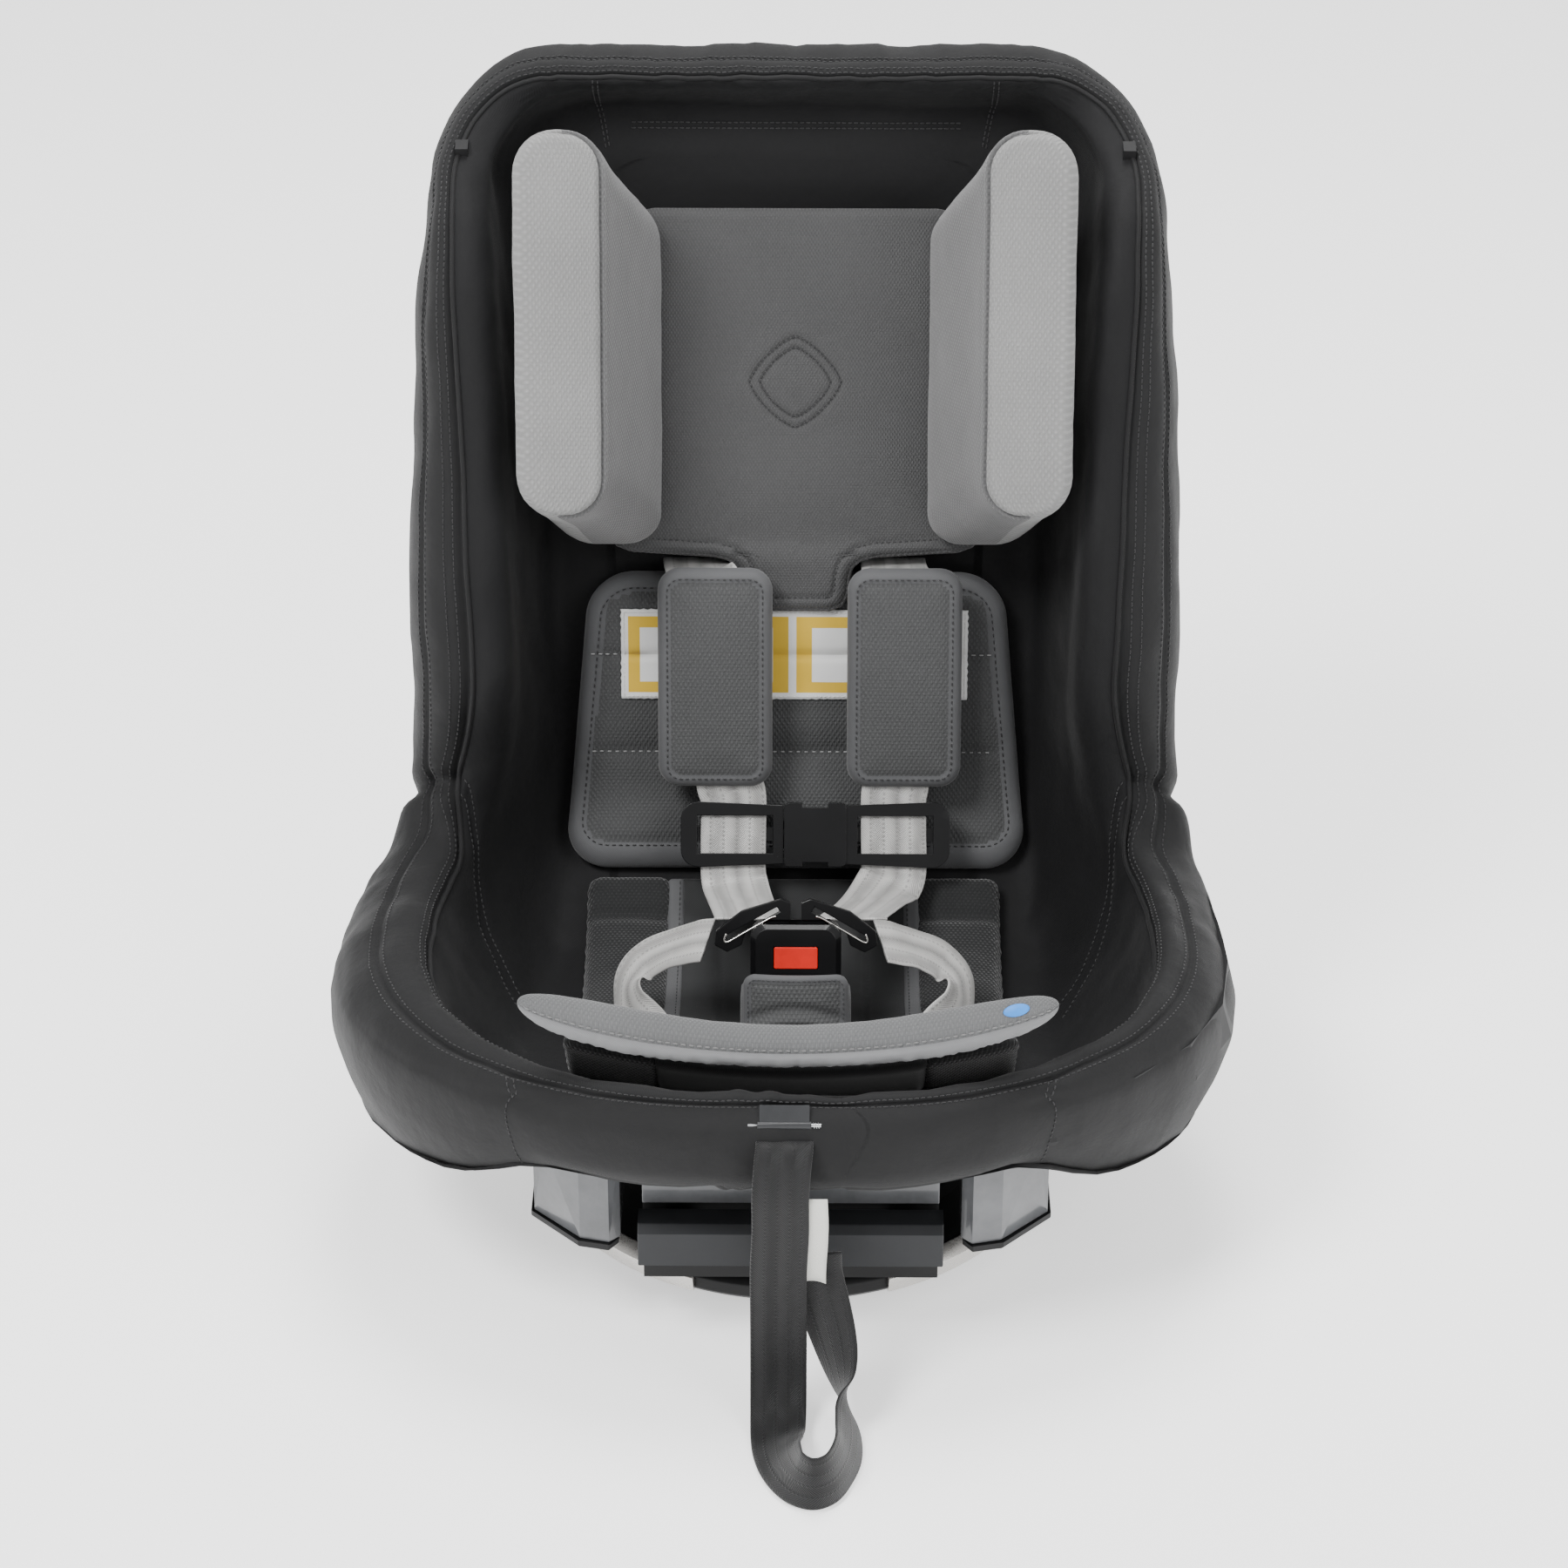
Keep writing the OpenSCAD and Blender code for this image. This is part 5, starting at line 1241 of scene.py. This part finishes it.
def make_seat_pad():
    centre_half = rounded(72, SEAT_LOW, SEAT_HIGH, 6)

    def centre_relief(a, b, d):
        out = -2.2 * dip(np.abs(a) - 42, 2.0) + 0.8
        return out - 3.0 * dip(np.maximum(np.abs(a) - 27, 0), 1.5) * dip(b - 92, 2.5)

    centre = Plush(centre_half, SEAT_LOW, SEAT_HIGH, seat_place, 6, 5.2, 4, 5, 0.0, centre_relief)
    piece = centre.build("seat_centre_panel", [SEAT_CENTRE, SEAT_CENTRE], "seat", columns=50, seed=3.3)
    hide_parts("seat_pad")
    for side in (-1, 1):
        mid = side * 95.5
        base = rounded(24.5, SEAT_LOW, SEAT_HIGH, 8)

        def half(b, base=base):
            b = np.asarray(b, float)
            return base(b) + 0.9 * np.abs(((b / 7.0) % 1) * 2 - 1) * np.clip((b - SEAT_LOW) / 10, 0, 1)

        channels = pillows(SEAT_LINES, 2.6, 2.2, 2.4)

        def relief(a, b, d, channels=channels):
            return channels(a, b, d) * np.clip(d / 5, 0, 1) + 1.4 * np.clip(d / 14, 0, 1)

        def sewn(a, b, d):
            return (d < 4) | (np.min(np.abs(b[..., None] - SEAT_LINES), -1) < 2.5)

        panel = Plush(half, SEAT_LOW, SEAT_HIGH, seat_place, 7.5, 5.2, 4.5, 6, mid, relief)
        name = "seat_side_panel_left" if side < 0 else "seat_side_panel_right"
        piece = panel.build(name, [SEAT_CLOTH, SEAT_CLOTH], "seat", columns=26, wrinkle=0.5, seed=5 + side,
                            sewn=sewn, cap=3.0)
        for line in SEAT_LINES:
            x = np.linspace(-20, 20, 24)
            panel.sew(("seat_stitching", BLACK_THREAD, "seat"), mid + x, line, 3.6, 2.6, 0.7)
        strip_half = rounded(5.2, SEAT_LOW + 2, SEAT_HIGH - 2, 3)
        strip = Plush(strip_half, SEAT_LOW + 2, SEAT_HIGH - 2, seat_place, 10.2, 3.2, 3, 3.4, side * 68.5)
        name = "seat_binding_left" if side < 0 else "seat_binding_right"
        piece = strip.build(name, [PAD_BINDING, PAD_BINDING], "seat", columns=8, wrinkle=0.15, seed=8)
        y = np.linspace(SEAT_LOW + 6, SEAT_HIGH - 6, 120)
        strip.sew(("seat_stitching", BLACK_THREAD, "seat"), side * 66.4, y, 3.4, 2.4, 0.6)


EDGE_Y, EDGE_Z, EDGE_W, EDGE_RISE = -163.0, 193.0, 141.0, 26.0


def make_seat_edge():
    """The light roll at the seat pad's front, with its gathered binding."""
    a = EDGE_W * np.sin(np.linspace(-np.pi / 2, np.pi / 2, 150))
    f = np.linspace(0, 2 * np.pi, 41)[:-1]
    fullness = np.sqrt(np.maximum(1 - (np.abs(a) / EDGE_W) ** 9, 0.0004))
    long_r = (11.0 + 1.2 * dip((np.abs(a) - 85) / 40, 1)) * fullness
    thin_r = 7.4 * fullness
    lean = math.radians(30)
    long_axis = np.array([0, math.sin(lean), math.cos(lean)])
    thin_axis = np.array([0, math.cos(lean), -math.sin(lean)])
    shape = 0.82
    c = np.sign(np.cos(f)) * np.abs(np.cos(f)) ** shape
    s = np.sign(np.sin(f)) * np.abs(np.sin(f)) ** shape
    mid = np.stack([a, np.full_like(a, EDGE_Y), EDGE_Z + EDGE_RISE * (a / EDGE_W) ** 2], 1)
    mid[:, 0] -= 1.5
    p = mid[:, None] + (thin_r[:, None] * c)[..., None] * thin_axis
    p = p + (long_r[:, None] * s)[..., None] * long_axis
    n = grid_normals(p, closed=True)
    away = np.sum((p - mid[:, None]) * n, -1, keepdims=True)
    n = n * np.sign(away + 1e-9)
    face = np.mod(f - np.pi, 2 * np.pi)
    seam = 0.30
    binding = (face > seam) & (face < 1.9)
    pleat = np.array([[noise.noise(Vector((x / 3.4, 1.5 * q, 2.0))) for q in f] for x in a])
    gathers = 1.1 * pleat * binding[None, :] * np.clip((EDGE_W - np.abs(a)) / 30, 0, 1)[:, None]
    groove = -1.5 * dip(face - seam, 0.16)[None, :]
    p = p + n * (gathers + groove + 0.3 * wobble(p, 12, 4.0))[..., None]
    count = len(f)
    faces = [g[::-1] for g in grid_faces(len(a), count, closed=True)]
    faces += [tuple(range(count)), tuple(len(a) * count - 1 - j for j in range(count))]
    arc = f * 10
    uvs = np.stack([np.repeat(a, count), np.tile(arc, len(a))], 1)
    kind = np.concatenate([np.tile(binding, len(a) - 1).astype(int), [0, 0]])
    piece = make_mesh("seat_edge_roll", p.reshape(-1, 3), faces, [EDGE_CLOTH, EDGE_BINDING], uvs, kind)
    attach(piece, "seat")
    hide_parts("seat_pad_edge")
    j = int(np.argmin(np.abs(face - (seam - 0.14))))
    inside = np.abs(a) < EDGE_W - 5
    thread_on = ("edge_stitching", GREY_THREAD, "seat")
    stitches(thread_on, p[inside, j], n[inside, j], pitch=4.2, size=2.9, width=0.9)
    return p, n, face


def make_edge_tag(roll):
    """A plain blue oval near the roll's right end."""
    p, n, face = roll
    i = int(np.argmin(np.abs(p[:, 0, 0] - 117)))
    j = int(np.argmin(np.abs(face - 6.0)))
    centre, normal = p[i, j], n[i, j]
    across = unit(p[i + 1, j] - p[i - 1, j])
    up = np.cross(normal, across)
    verts, faces = [], []
    for ring, (r, h) in enumerate(((1.0, 0.05), (0.96, 0.75), (0.84, 0.95), (0.0, 1.0))):
        for k in range(32):
            f = 2 * math.pi * k / 32
            verts.append(centre + across * 7 * r * math.cos(f) + up * 3.3 * r * math.sin(f) + normal * h)
        if ring:
            faces += grid_faces(2, 32, closed=True, start=(ring - 1) * 32)
    piece = make_mesh("edge_oval", verts, faces, [BLUE_PRINT])
    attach(piece, "seat")
    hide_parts("edge_tag")


lumbar = make_lumbar()
make_label(lumbar)
make_headrest()
make_bolster(-1, "bolster_cushion_left", "bolster_left")
make_bolster(1, "bolster_cushion_right", "bolster_right")
make_shoulder_pad(PAD_LEFT_X, "shoulder_cushion_left", "shoulder_pad_left")
make_shoulder_pad(PAD_RIGHT_X, "shoulder_cushion_right", "shoulder_pad_right")
make_seat_pad()
make_edge_tag(make_seat_edge())

# ---- harness -------------------------------------------------------------------------------------
CLIP_X, CLIP_WINDOW = 12.5, 46.5
SLOT_A, SLOT_B, STRAP_H = 57.0, 514.0, 39.0


def clip_at(x, z):
    return np.array([x, CLIP[1] + z * math.sin(CLIP_LEAN), CLIP[2] + z * math.cos(CLIP_LEAN)])


def strap_route(side, pad_x, clip_dx, end_x):
    lean = clip_dx - pad_x
    last = end_x - clip_dx
    return np.array([
        at(side * SLOT_A, SLOT_B, -26), at(side * SLOT_A, SLOT_B, 10),
        hung(side * SLOT_A + (pad_x - side * SLOT_A) * 0.3, SLOT_B - 4, 28), hung(pad_x, 496, STRAP_H),
        hung(pad_x, 440, STRAP_H), hung(pad_x + lean * 0.7, 392, STRAP_H), clip_at(clip_dx, 22),
        clip_at(clip_dx, 0), clip_at(clip_dx, -22), [clip_dx + last * 0.2, 80, 141],
        [clip_dx + last * 0.5, 58, 146], [clip_dx + last * 0.8, 28, 158],
        [end_x, 4, 169], [end_x, -5, 173]], float)


STRAP_FACE = [
    [0, 0.26, 0.97], [0, 0.1, 0.97], [0, -0.5, 0.86], [0, -0.97, 0.26], [0, -0.97, 0.26], [0, -0.95, 0.32],
    [0, -0.88, 0.47], [0, -0.88, 0.47], [0, -0.86, 0.5], [0, -0.4, 0.9], [0, 0.2, 0.97], [0, 0.37, 0.93],
    [0, 0.4, 0.92], [0, 0.42, 0.9]]
LAP_RIGHT = np.array([
    [49, -26, 172], [58, -22, 168], [70, -16, 160], [84, -13, 150], [93, -20, 141], [93, -35, 134],
    [84, -50, 128], [76, -60, 120], [74, -64, 92]], float)
LAP_FACE_RIGHT = np.array([
    [0.2, -0.3, 0.95], [0.3, -0.3, 0.93], [0.45, -0.2, 0.9], [0.7, -0.3, 0.64], [0.8, -0.6, 0.2],
    [0.5, -0.85, 0.1], [0.1, -0.9, 0.5], [0, -0.8, 0.5], [0, -1, 0.1]], float)


def make_harness():
    left = strap_route(-1, PAD_LEFT_X, CLIP_X - CLIP_WINDOW - 1, -25)
    right = strap_route(1, PAD_RIGHT_X, CLIP_X + CLIP_WINDOW - 1, 34)
    for name, route, node, tongue in (("harness_webbing_left", left, "shoulder_strap_left", "tongue_l"),
                                      ("harness_webbing_right", right, "shoulder_strap_right", "tongue_r")):
        piece = strap(name, route, STRAP_FACE, 38, 1.5, HARNESS_WEB, per=14, ripple=0.25, seed=len(name))
        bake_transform(piece)
        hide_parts(node)
    flip = np.array([-1, 1, 1])
    for name, route, face, node, tongue in (
            ("lap_webbing_right", LAP_RIGHT, LAP_FACE_RIGHT, "lap_strap_right", "tongue_r"),
            ("lap_webbing_left", LAP_RIGHT * flip + [2, 0, 0], LAP_FACE_RIGHT * flip, "lap_strap_left",
             "tongue_l")):
        piece = strap(name, route, face, 31, 1.5, HARNESS_WEB, per=16, ripple=0.7, seed=len(name) * 3)
        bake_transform(piece)
        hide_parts(node)
    low = [at_buckle(0, -21, 0), at_buckle(0, -34, 0), [2, -52, 117], [2, -53, 80]]
    piece = strap("crotch_webbing", low, [[0, -1, 0.3]] * 4, 30, 1.5, HARNESS_WEB)
    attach(piece, "seat")
    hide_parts("crotch_strap")
    rear = [at(0, b, -28.4) for b in (434, 400, 350, 318)]
    piece = strap("rear_webbing", rear, [lift(440.0)] * 4, 38, 1.6, HARNESS_WEB)
    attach(piece, "seat")
    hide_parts("rear_strap")
    tether = [at(0, 640, -34), at(0, 628, -36), at(0, 596, -34.6), at(0, 548, -33.6)]
    piece = strap("tether_webbing", tether, [-lift(620.0)] * 4, 38, 1.6, BLACK_WEB)
    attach(piece, "seat")
    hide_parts("tether_strap")


def make_crotch_pad():
    """A front panel and a sleeve round the buckle's lower half."""
    half = rounded(29, -46, -2, 7)

    def place(a, b, h):
        a = np.asarray(a, float)
        return at_buckle(a, b, h - 0.006 * a**2)

    def relief(a, b, d):
        fold = 1.6 * dip(b + 27 + 0.010 * a**2, 3.0) - 1.4 * dip(b + 20 + 0.010 * a**2, 2.6)
        return 1.2 * np.clip(d / 14, 0, 1) - 0.9 * dip(d - 4.5, 1.0) + fold * np.clip(d / 8, 0, 1)

    pad = Plush(half, -46, -2, place, 14.6, 2.4, 1.6, 4, 0.0, relief)
    piece = pad.build("crotch_panel", [PAD_CLOTH, PAD_BINDING], "seat", columns=30, binding=4.4, seed=7)
    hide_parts("crotch_pad")
    q = pad.inset(2.8, 1.6)
    pad.sew(("crotch_stitching", DARK_THREAD, "seat"), *q.T, pitch=2.8, size=2.0, width=0.5)
    f = 2 * np.pi * np.arange(72) / 72
    c = np.sign(np.cos(f)) * np.abs(np.cos(f)) ** 0.55
    s = np.sign(np.sin(f)) * np.abs(np.sin(f)) ** 0.55
    rings = []
    profile = [(-45, 1.2), (-46, 2.4), (-45, 3.6), (-40, 4.1), (-30, 4.2), (-18, 4.1), (-12, 3.6),
               (-10.6, 2.4), (-12, 1.2)]
    for z, out in profile:
        rings.append(at_buckle((26.5 + out) * c, z, -0.5 + (10.2 + out * 0.8) * s))
    p = np.array(rings)
    p = p + 0.35 * wobble(p, 9, 2.5)[..., None] * np.array([0, -1, 0.2])
    faces = [g[::-1] for g in grid_faces(len(profile), 72, closed=True)]
    uvs = np.stack([np.tile(f * 24, len(profile)), np.repeat([q[0] for q in profile], 72)], 1)
    sleeve = make_mesh("crotch_sleeve", p.reshape(-1, 3), faces, [PAD_BINDING], uvs)
    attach(sleeve, "seat")


def make_tongue_edges():
    """The bright edge of each tongue's steel plate beside the webbing."""
    for side, name, body in ((-1, "tongue_edge_left", "tongue_l"), (1, "tongue_edge_right", "tongue_r")):
        local = [(11, 28.5), (15, 27.0), (28, 19.5), (37, 14.2), (39.5, 14.6), (38.5, 18.5)]
        p = np.array([at_buckle(side * x, z, 2.3) for x, z in local])
        tube(name, smooth_path(p, 6), 0.55, STEEL, body, sides=8)


make_harness()
make_crotch_pad()
make_tongue_edges()

# ---- carried-over CAD parts ----------------------------------------------------------------------
CAD_MATERIALS = {
    BLACK_PLASTIC: ["dock_hub", "carriage", "cowl_trims", "headrest_plate", "cover_eyelets", "shade_sockets",
                    "adjuster_bracket"],
    SHELL_PLASTIC: ["shell"],
    HANDLE_PLASTIC: ["release_handle"],
    BUCKLE_PLASTIC: ["buckle_housing", "tongue_left", "tongue_right", "chest_clip_socket", "chest_clip_plug"],
    GLIDE_PLASTIC: ["saddle_liners", "rocker_rails", "glide_keepers", "guide_rails", "adjuster_lever"],
    GREY_GLOSS: ["carriage_front_panel", "cowl_left", "cowl_right"],
    RED_PLASTIC: ["buckle_button"],
    STEEL: ["hub_steel_ring"],
    PLATED: ["latch_jaws_left", "latch_jaws_right", "carriage_screws", "crotch_anchor", "buckle_lock_plate",
             "adjuster_pin", "splitter_plate", "tether_anchor"],
    SPRING: ["adjuster_spring"]}
EDGE_ROUNDING = {
    "dock_hub": 0.8, "carriage": 1.5, "carriage_front_panel": 1.0, "release_handle": 2.2, "cowl_left": 2.4,
    "cowl_right": 2.4, "cowl_trims": 0.8, "buckle_housing": 1.3, "buckle_button": 0.8, "tongue_left": 0.7,
    "tongue_right": 0.7, "chest_clip_socket": 1.0, "chest_clip_plug": 1.0, "hub_steel_ring": 0.3,
    "adjuster_bracket": 0.4, "adjuster_lever": 0.5, "splitter_plate": 0.4, "tether_anchor": 0.8,
    "headrest_plate": 0.8}


def finish_cad_parts():
    for material, names in CAD_MATERIALS.items():
        for name in names:
            mesh = nodes[name].data
            mesh.materials.clear()
            mesh.materials.append(material)
    for name, width in EDGE_ROUNDING.items():
        bevel = nodes[name].modifiers.new("edge_rounding", "BEVEL")
        bevel.width = width * MM
        bevel.segments = 3
        bevel.limit_method = "ANGLE"
        bevel.angle_limit = math.radians(38)
        weld = nodes[name].modifiers.new("weld", "WELD")
        weld.merge_threshold = 0.00002
        nodes[name].modifiers.move(len(nodes[name].modifiers) - 1, 0)


def spring(name, node, ends, radius, wire, turns):
    """A coil spring between two bodies, built as a fixed coil between the given ends."""
    start, end = (np.array(q, float) for q in ends)
    axis = unit(end - start)
    across = unit(np.cross(axis, [0.1, 0.3, 1.0]))
    up = np.cross(axis, across)
    f = np.linspace(0, 2 * np.pi * turns, turns * 18)[:, None]
    path = start + (end - start) * (f / f[-1]) + radius * (np.cos(f) * across + np.sin(f) * up)
    piece = tube(name, path, wire / 2, SPRING, None, sides=8)
    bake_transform(piece)
    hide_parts(node)


def make_springs():
    for side, label in ((-1, "left"), (1, "right")):
        for y, place in ((-8, "front"), (8, "back")):
            spring(f"jaw_spring_{label}_{place}", "jaw_springs",
                   ((side * 112.3, y, 15.5), (side * 123.7, y, 15.5)), 1.7, 0.6, 4)
        spring(f"handle_spring_{label}", "handle_springs",
               ((side * 60, -108.7, 69), (side * 60, -68.3, 69)), 2.8, 0.9, 5)
    ends = (at_buckle(0, 7, 3.6), at_buckle(0, 7, -2.7))
    spring("button_spring", "buckle_spring", ends, 2.4, 0.7, 4)


finish_cad_parts()
make_springs()
flush_stitches()
